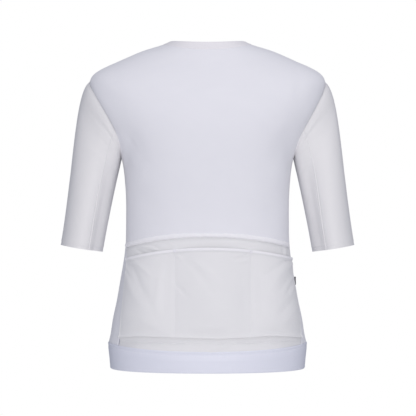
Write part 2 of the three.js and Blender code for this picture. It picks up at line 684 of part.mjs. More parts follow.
addPiece('back_upper', wall(backGrid(UPPER_LEVELS), CLOTH), 'bodyCloth');
addPiece('back_lower', wall(backGrid(LOWER_LEVELS), CLOTH), 'pocketCloth');
addPiece('waist_tape', wall(waistTapeGrid(), WAIST_TAPE_CLOTH), 'bodyCloth');
POCKETS.forEach((pocket) => addPiece(pocket.name, wall(pocketGrid(pocket), CLOTH), 'pocketCloth'));

const SIDES = [{ name: 'left', side: -1 }, { name: 'right', side: 1 }];
const UPPER_TURNS = turnsBetween(UNDER_STEPS, 2 * ARMHOLE_STEPS - UNDER_STEPS);
const UNDER_TURNS = turnsBetween(-UNDER_STEPS, UNDER_STEPS);
SIDES.forEach(({ name, side }) => {
  addPiece(`front_${name}`, wall(frontGrid(side, FRONT_LEVELS), CLOTH), 'bodyCloth');
  addPiece(`sleeve_${name}`, wall(sleeveGrid(side, UPPER_TURNS), CLOTH), 'sleeveCloth');
  addPiece(`sleeve_under_${name}`, wall(sleeveGrid(side, UNDER_TURNS), CLOTH), 'sleeveCloth');
});

addPiece('collar', wall(bandGrid(COLLAR_LEVELS, NECK, ['bottom']), BAND_CLOTH), 'band');
addPiece('hem_band', wall(bandGrid(HEM_LEVELS, HEM_SEAM, ['top']), BAND_CLOTH), 'band');

const onZip = sliderMatrix();
const pinPlace = onZip.clone().multiply(new THREE.Matrix4().makeTranslation(0, 0, PIN_HEIGHT));
addPiece('front_zip', frontZip(), 'zip');
addPiece('zip_slider', zipSlider(), 'slider', onZip);
addPiece('zip_pull', zipPull(), 'slider', pinPlace);
addPiece('side_loop', sideLoop(), 'loop');

export default group;
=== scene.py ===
"""Cycling jersey in its worn shape, open and empty: cloth, seams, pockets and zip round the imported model."""

from __future__ import annotations

import logging
import math
from collections.abc import Callable, Sequence
from dataclasses import dataclass, field
from enum import Enum

import bpy
import numpy as np
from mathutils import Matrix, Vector


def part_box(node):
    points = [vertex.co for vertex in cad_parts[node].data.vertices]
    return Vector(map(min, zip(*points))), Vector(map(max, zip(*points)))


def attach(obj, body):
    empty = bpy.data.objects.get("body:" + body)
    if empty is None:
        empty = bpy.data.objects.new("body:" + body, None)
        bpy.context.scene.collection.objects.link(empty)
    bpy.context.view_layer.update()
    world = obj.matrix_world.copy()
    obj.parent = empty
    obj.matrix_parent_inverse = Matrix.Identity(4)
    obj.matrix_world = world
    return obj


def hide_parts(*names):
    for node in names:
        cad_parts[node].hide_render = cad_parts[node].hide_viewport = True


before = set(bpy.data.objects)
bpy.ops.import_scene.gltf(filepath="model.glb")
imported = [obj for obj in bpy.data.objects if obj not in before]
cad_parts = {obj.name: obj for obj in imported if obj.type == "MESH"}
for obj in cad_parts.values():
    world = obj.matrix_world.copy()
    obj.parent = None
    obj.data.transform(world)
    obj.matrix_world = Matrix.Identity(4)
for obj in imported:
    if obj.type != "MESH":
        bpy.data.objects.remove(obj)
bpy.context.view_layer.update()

LOG = logging.getLogger("jersey")
Array = np.ndarray
EdgeLine = Callable[[Array], Array]
MM = 0.001
GARMENT = "garment"
SIDE_NAMES = {-1: "left", 1: "right"}


# --------------------------------------------------------------------------------------------
# The garment's form, in millimetres: an angle in degrees from centre back towards +X, and a
# level, the height that its ring has at the side.
# --------------------------------------------------------------------------------------------


@dataclass(frozen=True)
class Ring:
    """One ring of the form: heights at side, back and front, reaches, and side seam angles."""

    side: float
    back: float
    front: float
    half_width: float
    back_depth: float
    front_depth: float
    left_seam: float
    right_seam: float


RINGS = (
    Ring(-599, -599, -590, 181, 111, 104, 29, 22),
    Ring(-575, -579, -567, 183, 112, 104, 29, 22),
    Ring(-550, -559, -543, 184, 111, 104, 29, 21),
    Ring(-541, -537, -534, 182, 109, 103, 29, 20),
    Ring(-510, -503, -504, 177, 105, 101, 28, 18),
    Ring(-477, -467, -472, 170, 101, 99, 26, 16),
    Ring(-443, -429, -440, 164, 97, 97, 24, 15),
    Ring(-396, -377, -396, 156, 93, 96, 18, 9),
    Ring(-370, -350, -372, 153, 91, 97, 10, 5),
    Ring(-330, -316, -335, 152, 91, 101, 3, 2),
    Ring(-290, -281, -295, 152, 94, 107, 0, 0),
    Ring(-245, -247, -254, 155, 98, 113, 0, 0),
    Ring(-203, -212, -220, 162, 102, 115, 0, 0),
    Ring(-162, -181, -194, 180, 105, 112, 0, 0),
    Ring(-118, -146, -170, 204, 106, 105, 0, 0),
    Ring(-85, -117, -148, 217, 103, 99, 0, 0),
    Ring(-63, -97, -131, 219, 98, 94, -7, -7),
    Ring(-50, -85, -121, 210, 94, 90, -8, -8),
    Ring(-28, -62, -103, 167, 87, 83, -10, -10),
    Ring(-17, -48, -93, 142, 81, 79, -11, -11),
    Ring(-6, -31, -82, 114, 74, 75, -12, -12),
    Ring(3, -11, -72, 84, 68, 71, -13, -13),
    Ring(6.4, -4, -66, 75, 65, 67, -13, -13),
    Ring(9.4, 3, -60, 69, 63, 63, -13, -13),
)

ROUNDNESS = 2.3
HEM, HEM_SEAM = -599.0, -550.0
POCKET_FOOT, POCKET_MOUTH = -541.0, -396.0
WAIST_SEAM = -370.0
ARMPIT, SHOULDER_POINT = -203.0, -63.0
NECK, COLLAR_TOP = 3.0, 9.4
FRONT_EDGE = 3.0
SHOULDER_SEAM_FORWARD = 7.0
DIVIDERS = (-58.4, 78.4)
SLEEVE_LENGTH = 310.0
CUFF_STITCH, HEM_STITCH = 9.0, 6.0
CLOTH = 0.7
STRETCH_SHARE = 0.99


@dataclass(frozen=True)
class Fold:
    """A broad soft fold of the form: its middle, how far each half runs, half breadth, height."""

    angle: float
    level: float
    turn: float
    climb: float
    spread: float
    height: float


FOLDS = (
    Fold(-66, -205, 13, 34, 17, -3.0),
    Fold(68, -205, -13, 34, 17, -2.6),
    Fold(-50, -238, 11, 26, 16, 1.2),
    Fold(52, -240, -11, 28, 16, 1.2),
    Fold(-116, -205, -13, 34, 17, -2.6),
    Fold(115, -205, 13, 34, 17, -2.8),
)


def unit(vectors: Array) -> Array:
    """Vectors along the last axis, made one long."""
    return vectors / np.maximum(np.linalg.norm(vectors, axis=-1, keepdims=True), 1e-12)


def mix(start: float | Array, end: float | Array, share: float | Array) -> float | Array:
    """Value between start and end."""
    return start + (end - start) * share


def smooth_step(value: Array) -> Array:
    """0 below 0, 1 above 1, and a soft rise between."""
    clipped = np.clip(value, 0.0, 1.0)
    return clipped * clipped * (3.0 - 2.0 * clipped)


def bell(distance: Array, reach: float) -> Array:
    """1 where a distance is 0, falling softly to both sides."""
    return np.exp(-((distance / reach) ** 2))


def run_length(points: Array) -> Array:
    """Distances of the points of lines from each line's start."""
    steps = np.linalg.norm(np.diff(points, axis=-2), axis=-1)
    return np.concatenate([np.zeros((*steps.shape[:-1], 1)), np.cumsum(steps, axis=-1)], axis=-1)


class Spline:
    """Natural cubic spline through the points of one table column."""

    def __init__(self, places: Sequence[float], values: Sequence[float]) -> None:
        """Solves the second derivatives at the points.

        Args:
            places: where the points are, rising.
            values: the column's values there.
        """
        self.places = np.asarray(places, float)
        self.values = np.asarray(values, float)
        count = len(self.places)
        spans = np.diff(self.places)
        slopes = np.diff(self.values) / spans
        system = np.eye(count)
        target = np.zeros(count)
        for i in range(1, count - 1):
            system[i, i - 1 : i + 2] = spans[i - 1], 2 * (spans[i - 1] + spans[i]), spans[i]
            target[i] = 6 * (slopes[i] - slopes[i - 1])
        self.bends = np.linalg.solve(system, target)

    def __call__(self, place: float | Array) -> Array:
        """Value of the curve at a place."""
        place = np.asarray(place, float)
        i = np.clip(np.searchsorted(self.places, place) - 1, 0, len(self.places) - 2)
        span = self.places[i + 1] - self.places[i]
        after = (place - self.places[i]) / span
        before = 1.0 - after
        curve = (before**3 - before) * self.bends[i] + (after**3 - after) * self.bends[i + 1]
        return before * self.values[i] + after * self.values[i + 1] + curve * span**2 / 6


@dataclass(frozen=True)
class TorsoForm:
    """The surface shared by torso, shoulders and collar, fitted to the frame's height."""

    rings: tuple[Ring, ...] = RINGS
    folds: tuple[Fold, ...] = FOLDS
    probe: float = 0.2
    columns: dict[str, Spline] = field(default_factory=dict)

    def __post_init__(self) -> None:
        """Makes a spline of each column."""
        places = [ring.side for ring in self.rings]
        for name in Ring.__dataclass_fields__:
            self.columns[name] = Spline(places, [getattr(ring, name) for ring in self.rings])

    def column(self, name: str, level: float | Array) -> Array:
        """Value of a ring column at a level."""
        return self.columns[name](level)

    def plain(self, angle: Array, level: Array) -> Array:
        """Points before the folds.

        Args:
            angle: degrees from centre back.
            level: height at the side.

        Returns:
            Points in millimetres, x y z on the last axis.
        """
        angle, level = np.broadcast_arrays(np.asarray(angle, float), np.asarray(level, float))
        sine = np.sin(np.radians(angle))
        cosine = np.cos(np.radians(angle))
        is_back = cosine > 0
        depth = np.where(is_back, -self.column("back_depth", level), self.column("front_depth", level))
        middle = np.where(is_back, self.column("back", level), self.column("front", level))
        power = 2.0 / ROUNDNESS
        return np.stack(
            [
                np.sign(sine) * self.column("half_width", level) * np.abs(sine) ** power,
                depth * np.abs(cosine) ** power,
                level + (middle - level) * cosine**2,
            ],
            axis=-1,
        )

    def outward(self, surface: Callable[[Array, Array], Array], angle: Array, level: Array) -> Array:
        """Directions out of a surface of angle and level."""
        step = self.probe
        across = surface(angle + step, level) - surface(angle - step, level)
        upward = surface(angle, level + step) - surface(angle, level - step)
        return unit(np.cross(across, upward))

    def fold_height(self, points: Array) -> Array:
        """Height of all the folds together at points of the plain form."""
        height = np.zeros(points.shape[:-1])
        for fold in self.folds:
            start = self.plain(fold.angle - fold.turn, fold.level - fold.climb)
            run = self.plain(fold.angle + fold.turn, fold.level + fold.climb) - start
            share = np.clip(((points - start) @ run) / (run @ run), 0.0, 1.0)
            away = np.linalg.norm(points - start - share[..., None] * run, axis=-1) / fold.spread
            height += fold.height * np.sin(np.pi * mix(0.1, 0.9, share)) * np.exp(-away * away)
        return height

    def point(self, angle: Array, level: Array) -> Array:
        """Points of the form with its folds."""
        angle, level = np.broadcast_arrays(np.asarray(angle, float), np.asarray(level, float))
        plain = self.plain(angle, level)
        return plain + self.outward(self.plain, angle, level) * self.fold_height(plain)[..., None]

    def normal(self, angle: Array, level: Array) -> Array:
        """Directions out of the cloth."""
        angle, level = np.broadcast_arrays(np.asarray(angle, float), np.asarray(level, float))
        return self.outward(self.point, angle, level)

    def patch(self, angle: Array, level: Array) -> Patch:
        """Points of the form with its folds and their outward directions."""
        return Patch(self.point(angle, level), self.normal(angle, level))

    def seam_angle(self, side: int, level: float | Array) -> Array:
        """Angle of the side seam, and of the shoulder seam above the shoulder point."""
        return side * (90.0 - self.column("left_seam" if side < 0 else "right_seam", level))

    def back_angle(self, distance: float, level: float | Array) -> Array:
        """Angle at which the back is a distance from its centre, to the right if positive."""
        sine = (abs(distance) / self.column("half_width", level)) ** (ROUNDNESS / 2)
        return math.copysign(1.0, distance) * np.degrees(np.arcsin(sine))

    def side_edge(self, side: int) -> EdgeLine:
        """Edge line along the side seam."""
        return lambda level: self.seam_angle(side, level)

    def front_edge(self, side: int) -> EdgeLine:
        """Edge line beside the zip."""

        def angle(level: Array) -> Array:
            """Angle at which the form is the edge's distance from the centre front."""
            sine = (FRONT_EDGE / self.column("half_width", level)) ** (ROUNDNESS / 2)
            return side * (180.0 - np.degrees(np.arcsin(sine)))

        return angle

    def levels(self, start: float, end: float, step: float, edges: tuple[float, ...] = ()) -> Array:
        """Levels a step apart along the longest of the side, back and front lines.

        Args:
            start: lowest level.
            end: highest level.
            step: distance between rows, in millimetres.
            edges: distances from both ends at which extra rows stand.

        Returns:
            Rising levels from start to end.
        """
        dense = np.linspace(start, end, 500)
        lines = [self.plain(np.full_like(dense, angle), dense) for angle in (0.0, 90.0, 180.0)]
        runs = np.max([np.linalg.norm(np.diff(line, axis=0), axis=-1) for line in lines], axis=0)
        length = np.concatenate([[0.0], np.cumsum(runs)])
        return np.interp(ticks(length[-1], step, edges), length, dense)


def ticks(length: float, step: float, edges: tuple[float, ...] = ()) -> Array:
    """Distances along a length: a regular step with closer ones near both ends."""
    middle_start = max(edges) + step if edges else 0.0
    count = max(int(round((length - 2 * middle_start) / step)), 1)
    middle = np.linspace(middle_start, length - middle_start, count + 1)
    near = np.array(edges)
    return np.unique(np.round(np.concatenate([near, middle, length - near]), 5))


# distances from an edge at which rows or columns stand closer
EDGE_TICKS = (0.0, 0.45, 0.9, 1.5, 2.2, 3.2, 4.6, 6.4)
ROW_TICKS = (0.5, 1.0, 1.7, 2.6, 4.0, 6.0)
POCKET_TICKS = (0.5, 1.0, 1.6, 2.3, 3.0, 3.8, 4.6, 5.6, 7.0)
HEM_TICKS = (0.45, 0.9, 1.5, 2.2, 3.0, 4.0)


@dataclass(frozen=True)
class Armhole:
    """Armhole oval on the form: turn 0 at the armpit, 1 at the shoulder point, 2 back again."""

    form: TorsoForm
    side: int
    back_reach: float
    front_reach: float = 30.0

    def place(self, turn: Array) -> tuple[Array, Array]:
        """Angle and level for a turn."""
        turn = np.mod(np.asarray(turn, float), 2.0)
        is_back = turn <= 1
        climb = np.where(is_back, turn, 2 - turn)
        reach = np.where(is_back, -self.back_reach, self.front_reach)
        from_side = reach * np.sin(np.pi * climb) + SHOULDER_SEAM_FORWARD * climb**2
        level = mix(ARMPIT, SHOULDER_POINT, (1 - np.cos(np.pi * climb)) / 2)
        return self.side * (90 + from_side), level

    def point(self, turn: Array) -> Array:
        """Points of the armhole."""
        return self.form.point(*self.place(turn))

    def turn_at(self, level: Array, is_back: bool) -> Array:
        """Turn at which the armhole's back or front half reaches a level."""
        share = np.clip((level - ARMPIT) / (SHOULDER_POINT - ARMPIT), 0.0, 1.0)
        climb = np.arccos(1 - 2 * share) / np.pi
        return climb if is_back else np.mod(2 - climb, 2.0)

    def normal(self, turn: Array) -> Array:
        """Directions out of the seam, square to it and away from the armhole's middle."""
        point = self.point(turn)
        along = unit(self.point(turn + 0.02) - self.point(turn - 0.02))
        centre = (self.point(0.0) + self.point(1.0)) / 2
        away = point - centre
        return unit(away - along * np.sum(away * along, axis=-1, keepdims=True))


@dataclass(frozen=True)
class SleeveForm:
    """Sleeve surface: lines from the armhole to the cuff, each a cubic curve."""

    armhole: Armhole
    cuff_out: float = 235.0
    cuff_height: float = -376.0
    cuff_half_width: float = 39.0
    cuff_half_depth: float = 47.0
    tilt: float = 9.5
    under_climb: float = 0.4
    under_cuff_angle: float = 61.0
    inner_slope: float = 11.0
    outer_slope: float = 55.0
    inner_reach: float = 60.0
    outer_reach: float = 36.0
    inner_arrive: float = 60.0
    outer_arrive: float = 150.0

    def cuff_angle(self, turn: Array) -> Array:
        """Angle at the cuff, from its inner side round the back, for a turn of the armhole."""
        turn = np.mod(turn, 2.0)
        climb = np.where(turn <= 1, turn, 2 - turn)
        angle = np.interp(climb, [0, self.under_climb, 1], [0, self.under_cuff_angle, 180])
        return np.where(turn <= 1, angle, 360 - angle)

    def point(self, turn: Array, share: Array) -> Array:
        """Points of the sleeve.

        Args:
            turn: place round the armhole.
            share: 0 at the armhole and 1 at the cuff.

        Returns:
            Points in millimetres.
        """
        turn, share = np.broadcast_arrays(np.asarray(turn, float), np.asarray(share, float))
        side = self.armhole.side
        tilt = math.radians(self.tilt)
        axis = np.array([side * math.sin(tilt), 0.0, -math.cos(tilt)])
        sideways = np.array([side * math.cos(tilt), 0.0, math.sin(tilt)])
        cuff = np.radians(self.cuff_angle(turn))
        outer = (1 - np.cos(cuff)) / 2
        start = self.armhole.point(turn)
        end = (
            np.array([side * self.cuff_out, 0.0, self.cuff_height])
            - sideways * (self.cuff_half_width * np.cos(cuff))[..., None]
            - np.array([0.0, 1.0, 0.0]) * (self.cuff_half_depth * np.sin(cuff))[..., None]
        )
        slope = np.radians(mix(self.inner_slope, self.outer_slope, outer))
        leave = np.stack([side * np.sin(slope), np.zeros_like(slope), -np.cos(slope)], axis=-1)
        first = start + leave * mix(self.inner_reach, self.outer_reach, outer)[..., None]
        second = end - axis * mix(self.inner_arrive, self.outer_arrive, outer)[..., None]
        t = share[..., None]
        left = 1 - t
        return left**3 * start + 3 * left**2 * t * first + 3 * left * t**2 * second + t**3 * end

    def normal(self, turn: Array, share: Array) -> Array:
        """Directions out of the sleeve."""
        step = 0.004
        inside = np.clip(share, step, 1.0)
        across = self.point(turn + step, inside) - self.point(turn - step, inside)
        down = self.point(turn, inside) - self.point(turn, inside - step)
        return unit(np.cross(across, down)) * self.armhole.side


# --------------------------------------------------------------------------------------------
# Cloth shells
# --------------------------------------------------------------------------------------------


@dataclass(frozen=True)
class Crease:
    """A soft trough or ridge laid on the cloth as seen from behind or in front.

    start and end are x and z in millimetres; bow bends it sideways; a negative height sinks.
    """

    start: tuple[float, float]
    end: tuple[float, float]
    breadth: float
    height: float
    bow: float = 0.0

    def at(self, x: Array, z: Array) -> Array:
        """Height of the crease at places on the cloth."""
        first = np.array(self.start)
        run = np.array(self.end) - first
        length = float(np.hypot(*run))
        along = ((x - first[0]) * run[0] + (z - first[1]) * run[1]) / length**2
        aside = (-(x - first[0]) * run[1] + (z - first[1]) * run[0]) / length
        aside = aside - self.bow * 4 * np.clip(along, 0, 1) * (1 - np.clip(along, 0, 1))
        over = np.maximum(np.maximum(-along, along - 1), 0) * length / (self.breadth * 2)
        taper = 0.45 + 0.55 * np.sin(np.pi * np.clip(along, 0, 1))
        return self.height * taper * np.exp(-((aside / self.breadth) ** 2) - over**2)


def crease_table(*rows: tuple[float, ...]) -> tuple[Crease, ...]:
    """Creases from rows of start x and z, end x and z, breadth, height and bow."""
    return tuple(Crease(row[:2], row[2:4], *row[4:]) for row in rows)


def crease_height(creases: Sequence[Crease], points: Array, face: int) -> Array:
    """Height of many creases on the back (face -1) or the front (face 1) of the garment."""
    height = np.zeros(points.shape[:-1])
    for crease in creases:
        height += crease.at(points[..., 0], points[..., 2])
    return height * smooth_step(points[..., 1] * face / 12.0 + 0.5)


@dataclass
class Patch:
    """A grid of cloth points with their outward directions, rows first."""

    points: Array
    normals: Array

    def raised(self, height: float | Array) -> Patch:
        """The patch moved out by a height at each point."""
        height = np.broadcast_to(height, self.points.shape[:-1])
        return Patch(self.points + self.normals * height[..., None], self.normals)

    def edge_distances(self) -> dict[str, Array]:
        """Distance of each point from the four edges, along its row or column."""
        start = run_length(self.points)
        bottom = run_length(self.points.swapaxes(0, 1)).T
        return {"start": start, "end": start[:, -1:] - start, "bottom": bottom, "top": bottom[-1:] - bottom}


@dataclass(frozen=True)
class SeamShape:
    """How cloth dips into a seam and swells beside it, in millimetres."""

    depth: float = 0.18
    reach: float = 0.9
    swell: float = 0.07
    swell_at: float = 3.4

    def height(self, distance: Array) -> Array:
        """Height of the cloth at a distance from the seam."""
        return self.swell * bell(distance - self.swell_at, 2.4) - self.depth * bell(distance, self.reach)


def seam_height(patch: Patch, edges: Sequence[str], shape: SeamShape) -> Array:
    """Height of a patch's cloth beside the named edges."""
    distances = patch.edge_distances()
    return sum(shape.height(distances[edge]) for edge in edges)


@dataclass(frozen=True)
class BackFullness:
    """Cloth stands off behind the armholes: how far, how wide, and at what height, in millimetres."""

    depth: float = 6.5
    reach: float = 32.0
    middle: float = -115.0
    spread: float = 58.0

    def move(self, patch: Patch, distance: Array) -> Patch:
        """The patch with its cloth moved backwards near the armhole.

        Args:
            patch: body or sleeve cloth.
            distance: distance of each point from the armhole.
        """
        points = patch.points.copy()
        by_height = bell(points[..., 2] - self.middle, self.spread)
        by_side = smooth_step(-points[..., 1] / 30.0)
        points[..., 1] -= self.depth * bell(distance, self.reach) * by_height * by_side
        return Patch(points, patch.normals)


def groove(distance: Array, depth: float, reach: float) -> Array:
    """A soft groove where a distance is 0."""
    return -depth * bell(distance, reach)


def shell(name: str, patch: Patch, cloth: float) -> bpy.types.Object:
    """Closed thin shell of cloth on a patch.

    Args:
        name: object name.
        patch: the outer surface.
        cloth: wall thickness in millimetres.

    Returns:
        The new object, with a uv map in metres across and along the cloth.
    """
    rows, columns = patch.points.shape[:2]
    inner = patch.points - patch.normals * cloth
    points = np.concatenate([patch.points.reshape(-1, 3), inner.reshape(-1, 3)]) * MM
    index = np.arange(rows * columns).reshape(rows, columns)
    below = index + rows * columns
    quads = [
        np.stack([index[:-1, :-1], index[:-1, 1:], index[1:, 1:], index[1:, :-1]], -1),
        np.stack([below[:-1, :-1], below[1:, :-1], below[1:, 1:], below[:-1, 1:]], -1),
        np.stack([index[:-1, 0], index[1:, 0], below[1:, 0], below[:-1, 0]], -1),
        np.stack([index[:-1, -1], below[:-1, -1], below[1:, -1], index[1:, -1]], -1),
        np.stack([index[0, :-1], below[0, :-1], below[0, 1:], index[0, 1:]], -1),
        np.stack([index[-1, :-1], index[-1, 1:], below[-1, 1:], below[-1, :-1]], -1),
    ]
    faces = np.concatenate([quad.reshape(-1, 4) for quad in quads])
    corners = points[faces]
    volume = np.sum(corners[:, 0] * np.cross(corners[:, 1], corners[:, 2]))
    volume += np.sum(corners[:, 0] * np.cross(corners[:, 2], corners[:, 3]))
    if volume < 0:
        faces = faces[:, ::-1]
    distances = patch.edge_distances()
    flat = np.stack([distances["start"], distances["bottom"]], axis=-1).reshape(-1, 2) * MM
    return mesh_object(name, points, faces, np.concatenate([flat, flat]))


def mesh_object(name: str, points: Array, faces: Array, flat: Array | None = None) -> bpy.types.Object:
    """Object from arrays of points, faces and, where given, uv places of the points.

    Args:
        name: object name.
        points: vertices in metres.
        faces: vertex numbers, a row for each face.
        flat: uv place of each vertex.

    Returns:
        The linked object, smooth except at its sharp edges.
    """
    mesh = bpy.data.meshes.new(name)
    mesh.from_pydata(points.tolist(), [], faces.tolist())
    if flat is not None:
        layer = mesh.uv_layers.new(name="cloth")
        layer.data.foreach_set("uv", flat[faces.reshape(-1)].astype(np.float32).ravel())
    mesh.polygons.foreach_set("use_smooth", [True] * len(mesh.polygons))
    mesh.set_sharp_from_angle(angle=math.radians(48))
    mesh.update()
    piece = bpy.data.objects.new(name, mesh)
    bpy.context.scene.collection.objects.link(piece)
    return piece


@dataclass(frozen=True)
class Thread:
    """Lockstitch thread: stitch length, gap between stitches and half thickness, in mm."""

    stitch: float = 2.4
    gap: float = 0.8
    radius: float = 0.26
    lift: float = 0.12
    sides: int = 6

    def row(self, path: Array, normals: Array) -> tuple[Array, Array]:
        """Vertices and faces of the stitches along a path.

        Args:
            path: points on the cloth, in millimetres.
            normals: directions out of the cloth there.

        Returns:
            Vertices in metres and quads.
        """
        length = run_length(path)
        count = max(int(length[-1] // (self.stitch + self.gap)), 1)
        starts = np.arange(count) * length[-1] / count
        shares = np.array([0.0, 0.18, 0.5, 0.82, 1.0])
        widths = np.array([0.25, 0.85, 1.0, 0.85, 0.25]) * self.radius
        sinks = np.array([-0.9, 0.1, 0.4, 0.1, -0.9]) * self.radius
        places = starts[:, None] + shares[None, :] * self.stitch
        centre = np.stack([np.interp(places, length, path[:, k]) for k in range(3)], axis=-1)
        outward = unit(np.stack([np.interp(places, length, normals[:, k]) for k in range(3)], axis=-1))
        along = unit(centre[:, -1:] - centre[:, :1])
        across = unit(np.cross(along, outward))
        centre = centre + outward * (self.lift + sinks)[None, :, None]
        turns = np.arange(self.sides) * 2 * np.pi / self.sides
        ring = (
            across[:, :, None, :] * np.cos(turns)[None, None, :, None]
            + outward[:, :, None, :] * np.sin(turns)[None, None, :, None]
        ) * widths[None, :, None, None]
        points = (centre[:, :, None, :] + ring).reshape(-1, 3) * MM
        block = len(shares) * self.sides
        quads = []
        for i in range(len(shares) - 1):
            for j in range(self.sides):
                a = i * self.sides + j
                b = i * self.sides + (j + 1) % self.sides
                quads.append([a, b, b + self.sides, a + self.sides])
        caps = [[3, 2, 1, 0], [5, 4, 3, 0]]
        last = block - self.sides
        caps += [[last, last + 1, last + 2, last + 3], [last, last + 3, last + 4, last + 5]]
        one = np.array(quads + caps)
        faces = (one[None] + (np.arange(count) * block)[:, None, None]).reshape(-1, 4)
        return points, faces


def joined(name: str, parts: Sequence[tuple[Array, Array]]) -> bpy.types.Object:
    """One object from several arrays of points and faces."""
    offset = 0
    points = []
    faces = []
    for part_points, part_faces in parts:
        points.append(part_points)
        faces.append(part_faces + offset)
        offset += len(part_points)
    return mesh_object(name, np.concatenate(points), np.concatenate(faces))


# --------------------------------------------------------------------------------------------
# Finishes
# --------------------------------------------------------------------------------------------


def linear(colour: str) -> tuple[float, float, float, float]:
    """Linear colour of an sRGB hex code."""
    channels = [int(colour[i : i + 2], 16) / 255 for i in (1, 3, 5)]
    red, green, blue = (
        channel / 12.92 if channel <= 0.04045 else ((channel + 0.055) / 1.055) ** 2.4
        for channel in channels
    )
    return red, green, blue, 1.0


def add_node(
    tree: bpy.types.NodeTree,
    kind: str,
    settings: dict[str, object] | None = None,
    links: dict[str, object] | None = None,
) -> bpy.types.Node:
    """Node with its settings and links.

    Args:
        tree: node tree that it joins.
        kind: node type name.
        settings: node properties, or values of inputs where no property has the name.
        links: input name or number to the output socket that feeds it.

    Returns:
        The new node.
    """
    node = tree.nodes.new(kind)
    for name, value in (settings or {}).items():
        if hasattr(node, name):
            setattr(node, name, value)
        else:
            node.inputs[int(name) if name.isdigit() else name].default_value = value
    for name, source in (links or {}).items():
        tree.links.new(source, node.inputs[int(name) if name.isdigit() else name])
    return node


class Weave(Enum):
    """Ground of a cloth."""

    KNIT = "knit"
    RIB = "rib"
    TAPE = "tape"


@dataclass(frozen=True)
class Finish:
    """A surface's name and main colour, and the frame that all materials share."""

    name: str
    colour: str

    def material(self) -> bpy.types.Material:
        """Makes the material: one physical surface fed by what the finish draws."""
        material = bpy.data.materials.new(self.name)
        material.use_nodes = True
        tree = material.node_tree
        tree.nodes.clear()
        surface = add_node(tree, "ShaderNodeBsdfPrincipled", *self.draw(tree))
        add_node(tree, "ShaderNodeOutputMaterial", links={"Surface": surface.outputs["BSDF"]})
        return material


@dataclass(frozen=True)
class ClothFinish(Finish):
    """Cloth: a ground of loops or ribs with painted shade in its hollows, soft mottling of its depth, and the
    sheen of its fibre.
    """

    painted_hollow_shade: str
    weave: Weave
    pitch_mm: float
    relief_mm: float
    roughness: float
    sheen: float
    specular: float = 0.35
    patch_mm: float = 40.0

    def draw(self, tree: bpy.types.NodeTree) -> tuple[dict[str, object], dict[str, object]]:
        """Settings and links of the surface, drawn on the uv map that runs in metres."""
        cloth = {"Vector": add_node(tree, "ShaderNodeUVMap", {"uv_map": "cloth"}).outputs["UV"]}
        # a wave node turns 20 radians in a unit at scale 1, so a band is 2 pi times the pitch wide
        bands = {"Scale": 1000.0 / self.pitch_mm / 20, "Distortion": 0.6, "Detail": 1.0}
        across, along = (
            add_node(tree, "ShaderNodeTexWave", {"bands_direction": direction, **bands}, cloth).outputs["Fac"]
            for direction in "XY"
        )
        share = {Weave.KNIT: 0.5, Weave.RIB: 0.06, Weave.TAPE: 0.75}[self.weave]
        settings = {"data_type": "FLOAT", "0": share}
        ground = add_node(tree, "ShaderNodeMix", settings, {"2": across, "3": along}).outputs["Result"]
        settings = {"Scale": 1000.0 / self.patch_mm, "Detail": 3.0, "Roughness": 0.55}
        mottle = add_node(tree, "ShaderNodeTexNoise", settings, cloth).outputs["Fac"]
        settings = {"operation": "MULTIPLY_ADD", "1": 0.5, "2": 0.25}
        depth = add_node(tree, "ShaderNodeMath", settings, {"0": mottle}).outputs["Value"]
        # painted shade: where the ground sinks the colour leans to the darker one, with the mottling mixed in
        settings = {"operation": "MULTIPLY_ADD", "1": 0.22}
        hollow_shade_and_mottle = add_node(tree, "ShaderNodeMath", settings, {"0": ground, "2": depth}).outputs["Value"]
        settings = {"data_type": "RGBA", "6": linear(self.painted_hollow_shade), "7": linear(self.colour)}
        colour = add_node(tree, "ShaderNodeMix", settings, {"0": hollow_shade_and_mottle}).outputs["Result"]
        settings = {"Strength": 0.5, "Distance": self.relief_mm * MM}
        relief = add_node(tree, "ShaderNodeBump", settings, {"Height": ground}).outputs["Normal"]
        settings = {
            "Roughness": self.roughness,
            "Sheen Weight": self.sheen,
            "Sheen Roughness": 0.5,
            "Specular IOR Level": self.specular,
            "IOR": 1.53,
        }
        return settings, {"Base Color": colour, "Normal": relief}


@dataclass(frozen=True)
class HardFinish(Finish):
    """Painted or moulded hard surface with a faint uneven gloss."""

    roughness: float
    ior: float = 1.5
    grain_mm: float = 1.5

    def draw(self, tree: bpy.types.NodeTree) -> tuple[dict[str, object], dict[str, object]]:
        """Settings and links of the surface, drawn on object coordinates."""
        place = add_node(tree, "ShaderNodeTexCoord").outputs["Object"]
        settings = {"Scale": 1000.0 / self.grain_mm, "Detail": 4.0}
        grain = add_node(tree, "ShaderNodeTexNoise", settings, {"Vector": place}).outputs["Fac"]
        settings = {"3": self.roughness - 0.06, "4": self.roughness + 0.08}
        gloss = add_node(tree, "ShaderNodeMapRange", settings, {"0": grain}).outputs["Result"]
        return {"Base Color": linear(self.colour), "IOR": self.ior}, {"Roughness": gloss}


# Each cloth gives its main colour, then a darker one painted into the hollows of its ground as painted shade.
# Warp-knit polyester body cloth, heat-set flat: loops of about 0.4 mm, so fine that they only
# soften the surface, hardly any shine, and a light haze of fibre sheen where it turns away.
BODY_CLOTH = ClothFinish("polyester_warp_knit", "#e9e9ee", "#e3e3e9", Weave.KNIT, 0.4, 0.02, 0.85, 0.25)
# The pockets and the strip above them are cut from a plainer, slightly warmer brushed knit.
POCKET_CLOTH = ClothFinish("brushed_pocket_knit", "#e8e8e9", "#e2e1e3", Weave.KNIT, 0.4, 0.02, 0.88, 0.2)
# Waist elastic: narrow soft tape with the cloth gathered over it, painted a little brighter than the cloth as
# a painted highlight on the raised ridge; the pockets' bound mouths take it too.
WAIST_ELASTIC_HIGHLIGHT = ClothFinish("waist_elastic_painted_highlight", "#f2f1f4", "#ebeaee", Weave.KNIT, 0.4, 0.02, 0.85, 0.25)
